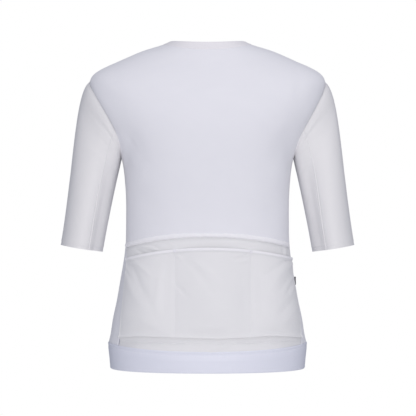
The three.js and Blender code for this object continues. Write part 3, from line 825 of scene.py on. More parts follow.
# Sleeves: the body's warp knit with more elastane, so smoother and a touch closer.
SLEEVE_CLOTH = ClothFinish("elastane_warp_knit", "#e7e6e7", "#e1e0e1", Weave.KNIT, 0.35, 0.02, 0.62, 0.1, 0.5)
# Collar: the body knit turned double, so its face is tighter.
COLLAR_CLOTH = ClothFinish("double_knit_collar", "#ebe9ec", "#e4e2e6", Weave.KNIT, 0.4, 0.02, 0.84, 0.2)
# Hem: power-knit elastic with covered rubber threads, finely ribbed at about 0.6 mm, bluish and
# satin, so it falls off faster to the sides than the cloth above it.
HEM_ELASTIC = ClothFinish("power_knit_elastic", "#e2e4ef", "#dcdeea", Weave.RIB, 0.6, 0.03, 0.54, 0.0, 0.75)
# Zip tape: plain woven polyester, flat and firm.
ZIP_TAPE = ClothFinish("woven_zip_tape", "#e2e2e8", "#d2d2da", Weave.TAPE, 0.8, 0.08, 0.75, 0.05)
# Zip coil: extruded nylon monofilament wound to teeth, smooth and slightly glossy.
ZIP_COIL = HardFinish("nylon_zip_coil", "#dcdce2", 0.38, ior=1.53)
# Stitches: spun polyester thread, matt and a little brighter than the cloth that it pulls in.
THREAD = HardFinish("polyester_thread", "#ecebf0", 0.7, grain_mm=0.4)
# Side loop: dark woven ribbon, folded and caught in the seam.
LOOP_RIBBON = ClothFinish("woven_dark_ribbon", "#66656b", "#55545b", Weave.TAPE, 0.8, 0.08, 0.7, 0.1)
# Slider and pull: die-cast zinc under white baked enamel, smooth with a faint orange peel.
ZINC_ENAMEL = HardFinish("enamelled_zinc", "#dedee3", 0.35, ior=1.5)


CLOTHS = (BODY_CLOTH, POCKET_CLOTH, WAIST_ELASTIC_HIGHLIGHT, SLEEVE_CLOTH, COLLAR_CLOTH, HEM_ELASTIC, ZIP_TAPE)
FINISHES = (*CLOTHS, ZIP_COIL, THREAD, LOOP_RIBBON, ZINC_ENAMEL)


# --------------------------------------------------------------------------------------------
# Pieces
# --------------------------------------------------------------------------------------------


@dataclass
class Tailor:
    """What every piece needs: the form, the sleeves on their armholes, and the materials."""

    materials: dict[str, bpy.types.Material]
    form: TorsoForm = field(default_factory=TorsoForm)

    def __post_init__(self) -> None:
        """Hangs both sleeves on armholes laid on the form."""
        back_reaches = {-1: 26.0, 1: 18.0}
        self.armholes = {side: Armhole(self.form, side, reach) for side, reach in back_reaches.items()}
        self.sleeves = {side: SleeveForm(armhole) for side, armhole in self.armholes.items()}

    def edge_angle(self, side: int, level: Array, is_back: bool) -> Array:
        """Angle at which a body panel ends: side seam, then armhole, then shoulder seam."""
        level = np.asarray(level, float)
        armhole = self.armholes[side]
        angle, _ = armhole.place(armhole.turn_at(level, is_back))
        seam = self.form.seam_angle(side, level)
        return np.where((level > ARMPIT) & (level < SHOULDER_POINT), angle, seam)

    def body_levels(self, start: float, step: float) -> Array:
        """Rows of a body panel from a start level to the neck, closer at the armhole's ends."""
        below = self.form.levels(start, ARMPIT, step)
        climbs = np.linspace(0.0, 1.0, 58)
        beside = mix(ARMPIT, SHOULDER_POINT, (1 - np.cos(np.pi * climbs)) / 2)
        above = self.form.levels(SHOULDER_POINT, NECK, step)
        rows = np.unique(np.round(np.concatenate([below, beside, above]), 4))
        ends = np.array([0.5, 1.0, 1.7, 2.6])
        return np.unique(np.concatenate([rows, start + ends, NECK - ends * 0.45]))

    def lay(self, left: EdgeLine, right: EdgeLine, levels: Array, step: float) -> Patch:
        """Grid on the form between two edge lines, evenly spread along each row.

        Args:
            left: angle of the left edge at a level.
            right: angle of the right edge at a level.
            levels: rows of the grid.
            step: distance between columns on the widest row, in millimetres.

        Returns:
            The patch, with close columns beside both edges.
        """
        share = np.linspace(0.0, 1.0, 181)
        start, end = left(levels), right(levels)
        angles = start[:, None] + (end - start)[:, None] * share[None, :]
        length = run_length(self.form.plain(angles, levels[:, None]))
        widest = float(length[:, -1].max())
        columns = ticks(widest, step, EDGE_TICKS)
        near = EDGE_TICKS[-1]
        grid = np.empty((len(levels), len(columns)))
        for i, row in enumerate(length):
            middle = near + (columns - near) * (row[-1] - 2 * near) / (widest - 2 * near)
            places = np.where(columns < near, columns, middle)
            places = np.where(columns > widest - near, row[-1] - (widest - columns), places)
            grid[i] = np.interp(places, row, angles[i])
        return self.form.patch(grid, np.broadcast_to(levels[:, None], grid.shape))

    def dress(self, piece: bpy.types.Object, finish: Finish, nodes: Sequence[str], slot: str) -> None:
        """Gives a piece its finish and its place on the garment, and hides the nodes it replaces."""
        piece.data.materials.append(self.materials[finish.name])
        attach(piece, GARMENT)
        if nodes:
            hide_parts(*nodes)

    def sew(self, name: str, patch: Patch, cloth: float, cut: Cut) -> bpy.types.Object:
        """Makes a piece of cloth, dressed and with its flat cut stated.

        Args:
            name: object name.
            patch: the outer surface.
            cloth: wall thickness in millimetres.
            cut: what the piece is made of, stands for and is cut from.

        Returns:
            The piece.
        """
        piece = shell(name, patch, cloth)
        self.dress(piece, cut.finish, (cut.node,), cut.slot)
        surface = sum(polygon.area for polygon in piece.data.polygons) / 2
        area = min(surface, cut.flat[0] * cut.flat[1]) * STRETCH_SHARE if cut.area is None else cut.area
        LOG.info("%s: surface %.4f m2, flat %.4f m2", name, surface, area)
        return piece


@dataclass(frozen=True)
class Cut:
    """Finish, node and slot of a cloth piece, and its flat cut: metres, how held, area if known."""

    finish: ClothFinish
    node: str
    slot: str
    flat: tuple[float, float]
    held: str = "stretched"
    area: float | None = None


@dataclass(frozen=True)
class Gathers:
    """Short uneven ripples that shirring leaves beside a seam.

    start and end are x in millimetres; spacing, height and drop are typical sizes, drop upwards.
    """

    seed: int
    start: float
    end: float
    spacing: float
    height: float
    drop: float

    def creases(self, line: Callable[[float], float]) -> list[Crease]:
        """Ripples to lay on the cloth, from a line that gives the seam's height at an x."""
        random = np.random.default_rng(self.seed)
        ripples = []
        x = self.start
        while x < self.end:
            size = random.uniform(0.35, 1.0)
            tilt = random.uniform(-0.35, 0.35) * self.drop * size
            z = line(x)
            height = self.height * random.uniform(-1.0, 0.8)
            ripples.append(Crease((x, z), (x + tilt, z + self.drop * size), 1.6 + 1.2 * size, height))
            x += self.spacing * random.uniform(0.55, 1.5)
        return ripples


@dataclass
class UpperBack:
    """Back panel from the waist seam over the shoulders to the collar."""

    step: float = 2.7
    cut: Cut = Cut(BODY_CLOTH, "back_upper", "body_cloth", (0.47, 0.40))
    gathers: tuple[Gathers, ...] = (
        Gathers(11, -136, -60, 7.0, 0.35, 15.0),
        Gathers(12, -60, 132, 10.0, 0.16, 11.0),
    )
    creases: tuple[Crease, ...] = crease_table(
        # beside the shoulder blades, faint and upright
        (166, -36, 164, -104, 9.0, -0.9, 3.0),
        (-168, -44, -158, -96, 10.0, -0.5, -3.0),
        # soft pulls towards the armpits
        (-158, -150, -118, -212, 13.0, -1.5, 6.0),
        (-160, -176, -138, -216, 6.0, 1.0, 2.0),
        (-150, -168, -131, -196, 4.5, -0.9, 1.5),
        (160, -152, 124, -214, 13.0, -1.3, -6.0),
        (163, -182, 142, -222, 6.0, 0.9, -2.0),
        # broad slack above the waist
        (-142, -262, -96, -322, 16.0, -0.9, 5.0),
        (140, -270, 104, -334, 15.0, -0.8, -4.0),
        (-40, -338, 34, -346, 14.0, 0.6, 3.0),
    )

    def edge(self, tailor: Tailor, side: int) -> EdgeLine:
        """Edge line of a side."""
        return lambda level: tailor.edge_angle(side, level, True)

    def build(self, tailor: Tailor) -> bpy.types.Object:
        """Makes the panel."""
        levels = tailor.body_levels(WAIST_SEAM, self.step)
        patch = tailor.lay(self.edge(tailor, -1), self.edge(tailor, 1), levels, self.step)
        for edge in ("start", "end"):
            patch = BackFullness().move(patch, patch.edge_distances()[edge])
        ripples = [crease for row in self.gathers for crease in row.creases(WaistSeam.seam_z)]
        height = crease_height([*self.creases, *ripples], patch.points, -1)
        height += seam_height(patch, ("start", "end", "bottom", "top"), SeamShape())
        return tailor.sew("back_panel", patch.raised(height), CLOTH, self.cut)


@dataclass
class FrontPanel:
    """Half of the front, from the hem band to the collar, and from its side seam to the zip."""

    side: int
    step: float = 3.1
    zip_stitch: float = 6.0
    side_seam: SeamShape = SeamShape(depth=0.6, reach=1.6)
    creases: tuple[Crease, ...] = crease_table(
        (-196, -214, -112, -232, 9.0, -1.3, 5.0),
        (-150, -190, -96, -252, 12.0, -1.4, -6.0),
        (-140, -262, -92, -300, 10.0, 0.9, 3.0),
        (-128, -352, -72, -372, 8.0, -0.8, -3.0),
        (-150, -420, -88, -452, 11.0, -0.9, 4.0),
        (-30, -120, -22, -196, 10.0, -0.6, 2.0),
        (152, -188, 98, -250, 12.0, -1.4, 6.0),
        (138, -258, 84, -292, 10.0, 0.9, -3.0),
        (132, -344, 64, -366, 8.0, -0.8, 3.0),
        (152, -410, 96, -448, 11.0, -0.9, -4.0),
        (28, -128, 20, -190, 10.0, -0.5, -2.0),
        (122, -300, 76, -316, 6.0, -0.5, -2.0),
        (-112, -478, -60, -506, 9.0, 0.7, 2.0),
        (118, -486, 52, -500, 9.0, 0.6, -2.0),
    )

    def seam_edge(self, tailor: Tailor) -> EdgeLine:
        """Edge line along the side seam, armhole and shoulder seam."""
        return lambda level: tailor.edge_angle(self.side, level, False)

    def build(self, tailor: Tailor) -> bpy.types.Object:
        """Makes the panel."""
        name = SIDE_NAMES[self.side]
        lines = [tailor.form.front_edge(self.side), self.seam_edge(tailor)][:: -self.side]
        patch = tailor.lay(*lines, tailor.body_levels(HEM_SEAM, self.step), self.step)
        zip_edge, outer_edge = ("start", "end")[:: -self.side]
        height = crease_height(self.creases, patch.points, 1)
        height += seam_height(patch, ("bottom", "top"), SeamShape())
        height += seam_height(patch, (outer_edge,), self.side_seam)
        distance = patch.edge_distances()[zip_edge]
        height += groove(distance, 0.35, 0.7) + groove(distance - self.zip_stitch, 0.3, 0.9)
        cut = Cut(BODY_CLOTH, f"front_{name}", "body_cloth", (0.31, 0.60))
        return tailor.sew(f"front_{name}_panel", patch.raised(height), CLOTH, cut)


@dataclass
class LowerBack:
    """Back panel under the pockets, from inside the hem band to the waist seam."""

    tuck: float = 1.2
    step: float = 2.7
    strip_step: float = 1.5
    crease_gain: float = 1.4
    cut: Cut = Cut(POCKET_CLOTH, "back_lower", "body_cloth", (0.34, 0.22))
    creases: tuple[Crease, ...] = crease_table(
        # pulls under the waist seam, strongest at the left
        (-126, -370, -88, -378, 2.4, 1.1, 0.8),
        (-108, -364, -87, -377, 2.0, -0.9, 0.8),
        (-132, -376, -112, -388, 2.4, -0.8, 0.8),
        (-74, -362, -58, -373, 2.2, 0.5, 0.5),
        (137, -370, 139, -388, 2.0, -0.9, 0.6),
        (143, -372, 144, -390, 1.8, 0.8, 0.4),
        (124, -366, 129, -384, 2.2, -0.6, 0.6),
        # soft diagonals under the pockets
        (2, -562, 46, -543, 5.5, 1.2, 2.5),
        (8, -553, 38, -541, 4.0, -0.8, 1.5),
        (-118, -552, -86, -542, 4.5, -0.6, 1.0),
        # the cloth sinks along the pockets' foot, most at its ends
        (-160, -543, 0, -543.5, 2.2, -1.8, -1.0),
        (0, -543.5, 160, -543, 2.2, -1.8, -1.0),
        (-170, -548, -128, -548, 9.0, -2.4, 0.0),
        (172, -548, 134, -548, 9.0, -2.2, 0.0),
    )

    def build(self, tailor: Tailor) -> bpy.types.Object:
        """Makes the panel."""
        form = tailor.form
        below = form.levels(HEM_SEAM - self.tuck, POCKET_MOUTH, self.step, ROW_TICKS)
        above = form.levels(POCKET_MOUTH, WAIST_SEAM, self.strip_step)
        levels = np.unique(np.concatenate([below, above]))
        patch = tailor.lay(form.side_edge(-1), form.side_edge(1), levels, self.step)
        height = self.crease_gain * crease_height(self.creases, patch.points, -1)
        height += seam_height(patch, ("start", "end"), SeamShape())
        # the strip sinks under the gathered seam
        height += groove(patch.edge_distances()["top"] - 5.0, 1.2, 3.2)
        return tailor.sew("lower_back_panel", patch.raised(height), CLOTH, self.cut)


@dataclass
class WaistSeam:
    """Narrow elastic that gathers the waist seam, a ruffled ridge that dies away at the right, painted
    brighter than the cloth as a painted highlight.
    """

    half_height: float = 4.5
    step: float = 0.9
    cloth: float = 0.6
    swell: float = 2.1
    sway: float = 0.055
    puff: float = 0.07
    seed: int = 5
    fade_length: float = 46.0
    ruffle_periods: tuple[float, ...] = (8.3, 12.7, 19.0, 31.0)
    # the ridge takes the brighter elastic colour: a painted highlight where it stands proud
    cut: Cut = Cut(WAIST_ELASTIC_HIGHLIGHT, "waist_tape", "body_cloth", (0.30, 0.010), "gathered", 0.0030)

    @staticmethod
    def seam_z(x: float) -> float:
        """Height of the waist seam on the back at an x."""
        return -350.0 - 20.0 * min(abs(x) / 150.0, 1.0) ** 2.3

    def build(self, tailor: Tailor) -> bpy.types.Object:
        """Makes the ridge."""
        form = tailor.form
        profile = np.linspace(-1.0, 1.0, 13)
        start, end = form.seam_angle(-1, WAIST_SEAM) + 0.4, form.seam_angle(1, WAIST_SEAM) - 0.4
        angles = mix(start, end, np.linspace(0.0, 1.0, 2001))
        length = run_length(form.plain(angles, np.full_like(angles, WAIST_SEAM)))
        run = np.arange(0.0, length[-1], self.step)
        column = np.interp(run, length, angles)
        random = np.random.default_rng(self.seed)
        sway = np.zeros_like(run)
        puff = np.zeros_like(run)
        for period in self.ruffle_periods:
            sway += np.sin(2 * np.pi * (run / period + random.uniform())) * period**0.4
            puff += np.sin(2 * np.pi * (run / (0.7 * period) + random.uniform())) * period**0.2
        liveliness = 0.55 + 0.9 * bell(run, 60.0) + 0.3 * bell(run - 190, 60.0)
        fade = smooth_step((length[-1] - run) / self.fade_length) * 0.85 + 0.15
        levels = WAIST_SEAM + profile * self.half_height
        level_grid = levels[:, None] + (sway * self.sway * liveliness)[None, :]
        rise = (profile + 1) / 2
        bulge = (smooth_step(rise / 0.24) * (1 - smooth_step((rise - 0.55) / 0.45)))[:, None]
        height = 0.1 + bulge * (self.swell + (puff * self.puff * liveliness)[None, :]) * fade[None, :]
        patch = form.patch(np.broadcast_to(column[None, :], level_grid.shape), level_grid)
        return tailor.sew("waist_elastic", patch.raised(height), self.cloth, self.cut)


@dataclass
class Pocket:
    """Patch pocket: cloth bagging a little, a bound mouth and a turned foot.

    left and right are distances of its edges from the centre back; None is the side seam.
    """

    name: str
    left: float | None
    right: float | None
    flat: tuple[float, float]
    creases: tuple[Crease, ...]
    ease: float = 8.0
    mouth_drop: float = 0.6
    crease_gain: float = 1.25
    binding: float = 5.6
    lift: float = 0.9
    step: float = 2.0
    foot_fold: float = 1.7
    corner_fold: float = 1.0
    seam_fold: float = 1.1
    mouth_roll: float = 1.4
    seam_fullness: float = 0.45
    divider_fullness: float = 1.4

    def wander(self, patch: Patch, distances: dict[str, Array]) -> Patch:
        """The patch with its foot and its mouth wandering up and down as sewn edges do."""
        x = patch.points[..., 0]
        foot = np.interp(x, EDGE_PLACES, FOOT_RISES) * bell(distances["bottom"], 24.0)
        mouth = np.interp(x, EDGE_PLACES, MOUTH_RISES) * bell(distances["top"], 30.0)
        points = patch.points.copy()
        points[..., 2] += foot + mouth
        return Patch(points, patch.normals)

    def paint_mouth_highlight(self, piece: bpy.types.Object, tailor: Tailor, top: Array) -> None:
        """Gives the rows of faces beside the mouth the waist elastic's brighter colour: a painted highlight on
        the bound, raised mouth.

        Args:
            piece: the pocket.
            tailor: gives the materials.
            top: distance of each point of the patch from the mouth, in millimetres.
        """
        # painted highlight: the bound rows at the mouth take the brighter elastic colour
        piece.data.materials.append(tailor.materials[WAIST_ELASTIC_HIGHLIGHT.name])
        bound_and_painted_bright = np.repeat(np.median(top, axis=1)[:-1] < self.binding, top.shape[1] - 1)
        numbers = np.zeros(len(piece.data.polygons), dtype=np.int32)
        numbers[: 2 * bound_and_painted_bright.size] = np.concatenate([bound_and_painted_bright, bound_and_painted_bright])
        piece.data.polygons.foreach_set("material_index", numbers)

    def edge(self, form: TorsoForm, side: int, distance: float | None) -> EdgeLine:
        """Upright edge line at a distance from the centre back, or along the side seam."""
        if distance is None:
            return form.side_edge(side)
        return lambda level: form.back_angle(distance, level)

    def build(self, tailor: Tailor) -> bpy.types.Object:
        """Makes the pocket."""
        form = tailor.form
        levels = form.levels(POCKET_FOOT, POCKET_MOUTH, self.step, POCKET_TICKS)
        patch = tailor.lay(self.edge(form, -1, self.left), self.edge(form, 1, self.right), levels, self.step)
        distances = patch.edge_distances()
        top, bottom = distances["top"], distances["bottom"]
        patch = self.wander(patch, distances)
        across = distances["start"] / (distances["start"] + distances["end"])
        climb = bottom / (bottom + top)
        arch = np.sin(np.pi * across)
        # full beside a side seam, flat beside a divider, where the next pocket carries on
        by_edge = {True: self.seam_fullness, False: self.divider_fullness}
        fullness = mix(by_edge[self.left is None], by_edge[self.right is None], across)
        bag = arch**fullness * np.sin(np.pi / 2 * np.minimum(1.0, climb / 0.35))
        height = self.lift + self.ease * bag * (1 - self.mouth_drop * smooth_step((climb - 0.55) / 0.45))
        height += self.crease_gain * crease_height(self.creases, patch.points, -1)
        for edge, place in (("start", self.left), ("end", self.right)):
            distance = distances[edge]
            if place is None:
                # a turned seam allowance makes a thin raised edge beside the side seam
                height += self.seam_fold * bell(distance - 1.4, 1.3) + groove(distance, 0.9, 0.6)
            else:
                # twin stitch lines hold the divider down
                height += groove(distance - 0.2, 0.2, 0.9) + groove(distance - 2.4, 0.12, 0.6)
                height += groove(distance, self.lift - 0.5, 5.0)
        # the mouth is bound: a firm rounded edge with its stitch line below it
        height += self.mouth_roll * np.exp(-(((top - 2.9) / 3.0) ** 4)) + groove(top - 7.2, 0.8, 2.0)
        height += groove(top, 0.7, 0.6)
        # the foot is turned under and stitched down
        height += (self.foot_fold + self.corner_fold * (1 - arch**0.5)) * bell(bottom, 5.0)
        height += groove(bottom - 4.0, 0.22, 0.7) + groove(bottom, 0.3, 0.5)
        cut = Cut(POCKET_CLOTH, f"pocket_{self.name}", "pocket_cloth", self.flat)
        piece = tailor.sew(f"pocket_{self.name}_cloth", patch.raised(height), CLOTH, cut)
        self.paint_mouth_highlight(piece, tailor, top)
        return piece


# how far the pockets' foot and mouth rise above their levels, by x
EDGE_PLACES = (-163, -150, -128, -105, -83, -55, -25, 20, 50, 78, 100, 123, 152, 173)
FOOT_RISES = (0.6, 2.2, 4.1, 3.9, 3.2, 2.2, 1.1, -0.2, 1.0, 2.6, 4.2, 4.7, 3.2, 0.0)
MOUTH_RISES = (1.2, 1.4, 1.8, 2.6, 3.4, 4.3, 4.6, 4.8, 4.8, 4.6, 4.2, 3.8, 3.2, 3.0)

POCKETS = (
    Pocket(
        "left",
        None,
        DIVIDERS[0],
        (0.13, 0.16),
        crease_table(
            (-146, -398, -118, -444, 5.5, -1.0, 3.0),
            (-138, -396, -102, -424, 4.5, 0.9, 2.0),
            (-150, -420, -124, -470, 6.0, 0.8, -2.0),
            (-132, -430, -96, -492, 8.0, -0.9, 4.0),
            (-72, -408, -76, -500, 7.0, -0.9, -2.0),
            (-86, -412, -90, -470, 6.0, 0.7, 1.0),
            (-57, -428, -42, -456, 4.0, -0.9, 1.0),
            (-147, -404, -140, -416, 2.2, -0.8, 0.4),
            (-150, -398, -134, -405, 2.0, 0.6, 0.4),
            (-152, -412, -141, -426, 2.2, -0.6, 0.4),
            (-128, -504, -84, -520, 8.0, 0.7, 2.0),
        ),
    ),
    Pocket(
        "centre",
        DIVIDERS[0],
        DIVIDERS[1],
        (0.15, 0.167),
        crease_table(
            (-58, -382, -50, -384, 1.9, -1.6, 0.2),
            (78, -384, 64, -386, 1.9, -1.6, -0.4),
            (-57, -388, -47, -394, 2.2, 1.0, 0.6),
            (-54, -381, -44, -386, 1.8, -0.7, 0.4),
            (76, -386, 52, -387, 2.2, 1.0, -1.0),
            (74, -391, 48, -394, 2.4, -0.8, -1.0),
            (72, -398, 56, -400, 2.2, 0.5, -0.6),
            (-36, -400, 2, -446, 7.0, -0.9, 3.0),
            (-24, -396, 18, -434, 6.0, 0.6, 2.0),
            (-57, -441, -40, -457, 4.0, -0.8, 1.0),
            (58, -420, 68, -500, 8.0, -0.6, 2.0),
            (-30, -516, 36, -520, 8.0, 0.6, 1.5),
        ),
    ),
    Pocket(
        "right",
        DIVIDERS[1],
        None,
        (0.115, 0.16),
        crease_table(
            (154, -438, 140, -458, 3.2, -0.9, -0.8),
            (158, -446, 150, -456, 2.2, 0.6, -0.4),
            (156, -420, 128, -452, 5.0, -0.8, -2.0),
            (150, -402, 116, -442, 6.0, 0.9, -3.0),
            (146, -398, 104, -424, 5.0, -0.7, -2.0),
            (158, -464, 126, -500, 6.0, -0.8, -2.5),
            (162, -482, 136, -516, 6.0, 0.6, -2.0),
            (92, -410, 96, -496, 8.0, -0.6, 2.0),
            (156, -404, 146, -412, 2.2, 0.7, -0.4),
            (150, -396, 138, -400, 2.0, -0.6, -0.3),
        ),
    ),
)


@dataclass(frozen=True)
class SleeveFold:
    """Fold across a sleeve: middle turn, share of the length, slant, breadth, height in mm."""

    turn: float
    share: float
    slant: float
    breadth: float
    height: float
    right_share: float = 0.0


SLEEVE_FOLDS = (
    SleeveFold(0.30, 0.13, 0.10, 5.0, -1.2),
    SleeveFold(0.36, 0.09, 0.05, 3.0, 1.1),
    SleeveFold(0.44, 0.07, 0.05, 3.4, -1.0),
    SleeveFold(0.52, 0.13, 0.09, 6.0, 0.9),
    SleeveFold(0.24, 0.24, 0.10, 6.0, 1.0),
    SleeveFold(0.34, 0.30, 0.12, 7.0, -0.9),
    SleeveFold(0.62, 0.42, 0.16, 12.0, -0.8, right_share=0.05),
    SleeveFold(0.82, 0.60, 0.18, 13.0, 0.7),
    SleeveFold(1.66, 0.12, 0.08, 5.0, -1.2),
    SleeveFold(1.56, 0.10, 0.07, 4.0, 1.0),
    SleeveFold(1.46, 0.24, 0.11, 8.0, -0.9),
    SleeveFold(1.30, 0.46, 0.16, 12.0, 0.7),
    SleeveFold(1.72, 0.30, 0.12, 7.0, 0.8),
)


@dataclass
class Sleeve:
    """Part of a short set-in sleeve: the upper piece, or the narrow one under the arm."""

    side: int
    is_under: bool
    step: float = 2.7
    upper_girth: float = 345.0
    under_girth: float = 115.0
    upper_flat: tuple[float, float] = (0.37, 0.36)
    under_flat: tuple[float, float] = (0.125, 0.32)
    fold_gain: float = 0.45
    fold_slope: float = 1040.0
    fold_turn: float = 0.16
    seam_ridge: float = 0.55
    cap_fullness: float = 1.5
    inner_fullness: float = 7.0
    edge_seam: SeamShape = SeamShape(depth=0.5, reach=1.1, swell=0.0)
    armhole_seam: SeamShape = SeamShape(depth=0.1, swell=0.4)

    def fold_height(self, turn: Array, share: Array) -> Array:
        """Height of the folds across the sleeve."""
        height = np.zeros(turn.shape)
        for fold in SLEEVE_FOLDS:
            middle = fold.share + (fold.right_share if self.side > 0 else 0.0)
            around = np.mod(turn - fold.turn + 1.0, 2.0) - 1.0
            away = (share - middle) * SLEEVE_LENGTH - around * self.fold_slope * fold.slant
            height += self.fold_gain * fold.height * bell(away, fold.breadth) * bell(around, self.fold_turn)
        return height

    def build(self, tailor: Tailor) -> bpy.types.Object:
        """Makes the sleeve piece."""
        sleeve = tailor.sleeves[self.side]
        start, end = (-0.4, 0.4) if self.is_under else (0.4, 1.6)
        girth = self.under_girth if self.is_under else self.upper_girth
        columns = ticks(girth, self.step, EDGE_TICKS)
        turns = mix(start, end, columns / columns[-1])
        shares = ticks(SLEEVE_LENGTH, self.step, (0.0, *ROW_TICKS)) / SLEEVE_LENGTH
        turn, share = np.meshgrid(turns, shares)
        patch = Patch(sleeve.point(turn, share), sleeve.normal(turn, share))
        distances = patch.edge_distances()
        top = distances["top"]
        patch = BackFullness().move(patch, distances["bottom"])
        height = self.fold_height(turn, share)
        ridge = self.seam_ridge * smooth_step((share - 0.35) / 0.3)
        for edge in ("start", "end"):
            height += self.edge_seam.height(distances[edge]) + ridge * bell(distances[edge] - 2.2, 1.5)
        height += self.armhole_seam.height(distances["bottom"])
        # the cap is eased into the armhole, and the inner side lies flatter than a tube
        cap = smooth_step(share / 0.3) * (1 - smooth_step((share - 0.3) / 0.6))
        height += self.cap_fullness * bell(turn - 0.66, 0.24) * cap
        height += self.inner_fullness * bell(turn - 0.28, 0.15) * smooth_step((share - 0.05) / 0.4)
        # the cuff is turned and stitched
        height += groove(top - CUFF_STITCH, 0.38, 0.9) + 0.22 * smooth_step((CUFF_STITCH - top) / 1.5)
        height += groove(top, 0.5, 0.6)
        part = f"sleeve_under_{SIDE_NAMES[self.side]}" if self.is_under else f"sleeve_{SIDE_NAMES[self.side]}"
        flat = self.under_flat if self.is_under else self.upper_flat
        cut = Cut(SLEEVE_CLOTH, part, "sleeve_cloth", flat)
        return tailor.sew(f"{part}_cloth", patch.raised(height), CLOTH, cut)


@dataclass
class Band:
    """Band round the garment from one zip edge to the other: the collar or the hem elastic."""

    name: str
    low: float
    high: float
    cut: Cut
    lift: float = 0.55
    step: float = 2.2
    cloth: float = 1.2
    gather: float = 0.07

    def collar_height(self, bottom: Array, top: Array) -> Array:
        """A folded stand: rounded at the top, sunk into its seam at the bottom."""
        return groove(bottom, 1.1, 1.0) + groove(top, 0.8, 1.0)

    def hem_height(self, bottom: Array, top: Array, run: Array) -> Array:
        """Elastic: a firm top edge, a stitch line under it, small even gathers, a turned hem."""
        height = 0.4 * bell(top - 1.8, 1.5) + groove(top - HEM_STITCH, 0.5, 0.9) + groove(top, 0.25, 0.5)
        height += 0.35 * bell(top - 2.6, 1.7) + groove(bottom, 0.8, 0.9) + groove(bottom - 6.0, 0.22, 0.8)
        wave = np.sin(run * 0.83 + 1.2 * np.sin(run * 0.11)) + 0.6 * np.sin(run * 0.47 + 2.0)
        return height + self.gather * wave * bell(top - HEM_STITCH, 7.0)

    def build(self, tailor: Tailor) -> bpy.types.Object:
        """Makes the band."""
        form = tailor.form
        is_collar = self.high > NECK
        levels = np.linspace(self.low, self.high, 15)
        if not is_collar:
            levels = form.levels(self.low, self.high, self.step, HEM_TICKS)
        patch = tailor.lay(form.front_edge(-1), form.front_edge(1), levels, self.step)
        distances = patch.edge_distances()
        bottom, top, run = distances["bottom"], distances["top"], distances["start"]
        height = self.lift + groove(run, 1.0, 0.6) + groove(distances["end"], 1.0, 0.6)
        height += self.collar_height(bottom, top) if is_collar else self.hem_height(bottom, top, run)
        return tailor.sew(self.name, patch.raised(height), self.cloth, self.cut)


COLLAR = Band("collar_stand", NECK, COLLAR_TOP, Cut(COLLAR_CLOTH, "collar", "collar_cloth", (0.40, 0.022)))
HEM_BAND = Band("hem_elastic", HEM, HEM_SEAM, Cut(HEM_ELASTIC, "hem_band", "elastic_band", (0.98, 0.055)))


@dataclass
class Zip:
    """Front zip: a woven tape behind the front edges and a coil between them."""

    tape_half_width: float = 13.0
    tape_depth: float = 1.6
    tape_stitch: float = 10.0
    tape_cloth: float = 0.7
    coil_half_width: float = 2.5
    coil_pitch: float = 1.5
    coil_depth: float = 0.75
    coil_relief: float = 0.55
    coil_cloth: float = 0.4
    end_inset: float = 1.0
    flat: tuple[float, float] = (0.026, 0.56)

    def strip(
        self, form: TorsoForm, half_width: float, columns: int, step: float
    ) -> tuple[Patch, Array, Array]:
        """Strip down the centre front.

        Args:
            form: the garment's form.
            half_width: half the strip's width, in millimetres.
            columns: number of columns.
            step: distance between rows.

        Returns:
            The patch, and the sideways place and the run of each point.
        """
        levels = form.levels(HEM + self.end_inset, COLLAR_TOP - self.end_inset, 2.0)
        length = run_length(form.plain(np.full_like(levels, 180.0), levels))
        run = np.arange(0.0, length[-1], step)
        rows = np.interp(run, length, levels)
        sideways = np.linspace(-half_width, half_width, columns)
        sine = (np.abs(sideways)[None, :] / form.column("half_width", rows)[:, None]) ** (ROUNDNESS / 2)
        turn = 180.0 - np.sign(sideways)[None, :] * np.degrees(np.arcsin(np.clip(sine, 0, 1)))
        levels, places, runs = np.broadcast_arrays(rows[:, None], sideways[None, :], run[:, None])[:3]
        return form.patch(turn, levels), places, runs

    def build(self, tailor: Tailor) -> list[bpy.types.Object]:
        """Makes the tape and the coil."""
        patch, sideways, _ = self.strip(tailor.form, self.tape_half_width, 27, 4.0)
        height = groove(np.abs(sideways) - self.tape_stitch, 0.2, 0.8) - self.tape_depth
        tape = shell("zip_tape", patch.raised(height), self.tape_cloth)
        tailor.dress(tape, ZIP_TAPE, ("front_zip",), "zip_tape")
        patch, sideways, run = self.strip(tailor.form, self.coil_half_width, 13, self.coil_pitch / 6)
        phase = 2 * np.pi * run / self.coil_pitch + np.where(sideways < 0, 0.0, np.pi)
        across = np.abs(sideways) / self.coil_half_width
        crown = np.sqrt(np.clip(1 - np.minimum(across, 1.0) ** 4, 0, 1))
        teeth = self.coil_relief * (0.5 + 0.5 * np.sin(phase))
        height = 0.1 - self.tape_depth + (self.coil_depth + teeth) * crown
        coil = shell("zip_coil", patch.raised(height), self.coil_cloth)
        tailor.dress(coil, ZIP_COIL, (), "zip_tape")
        width, length = self.flat
        return [tape, coil]


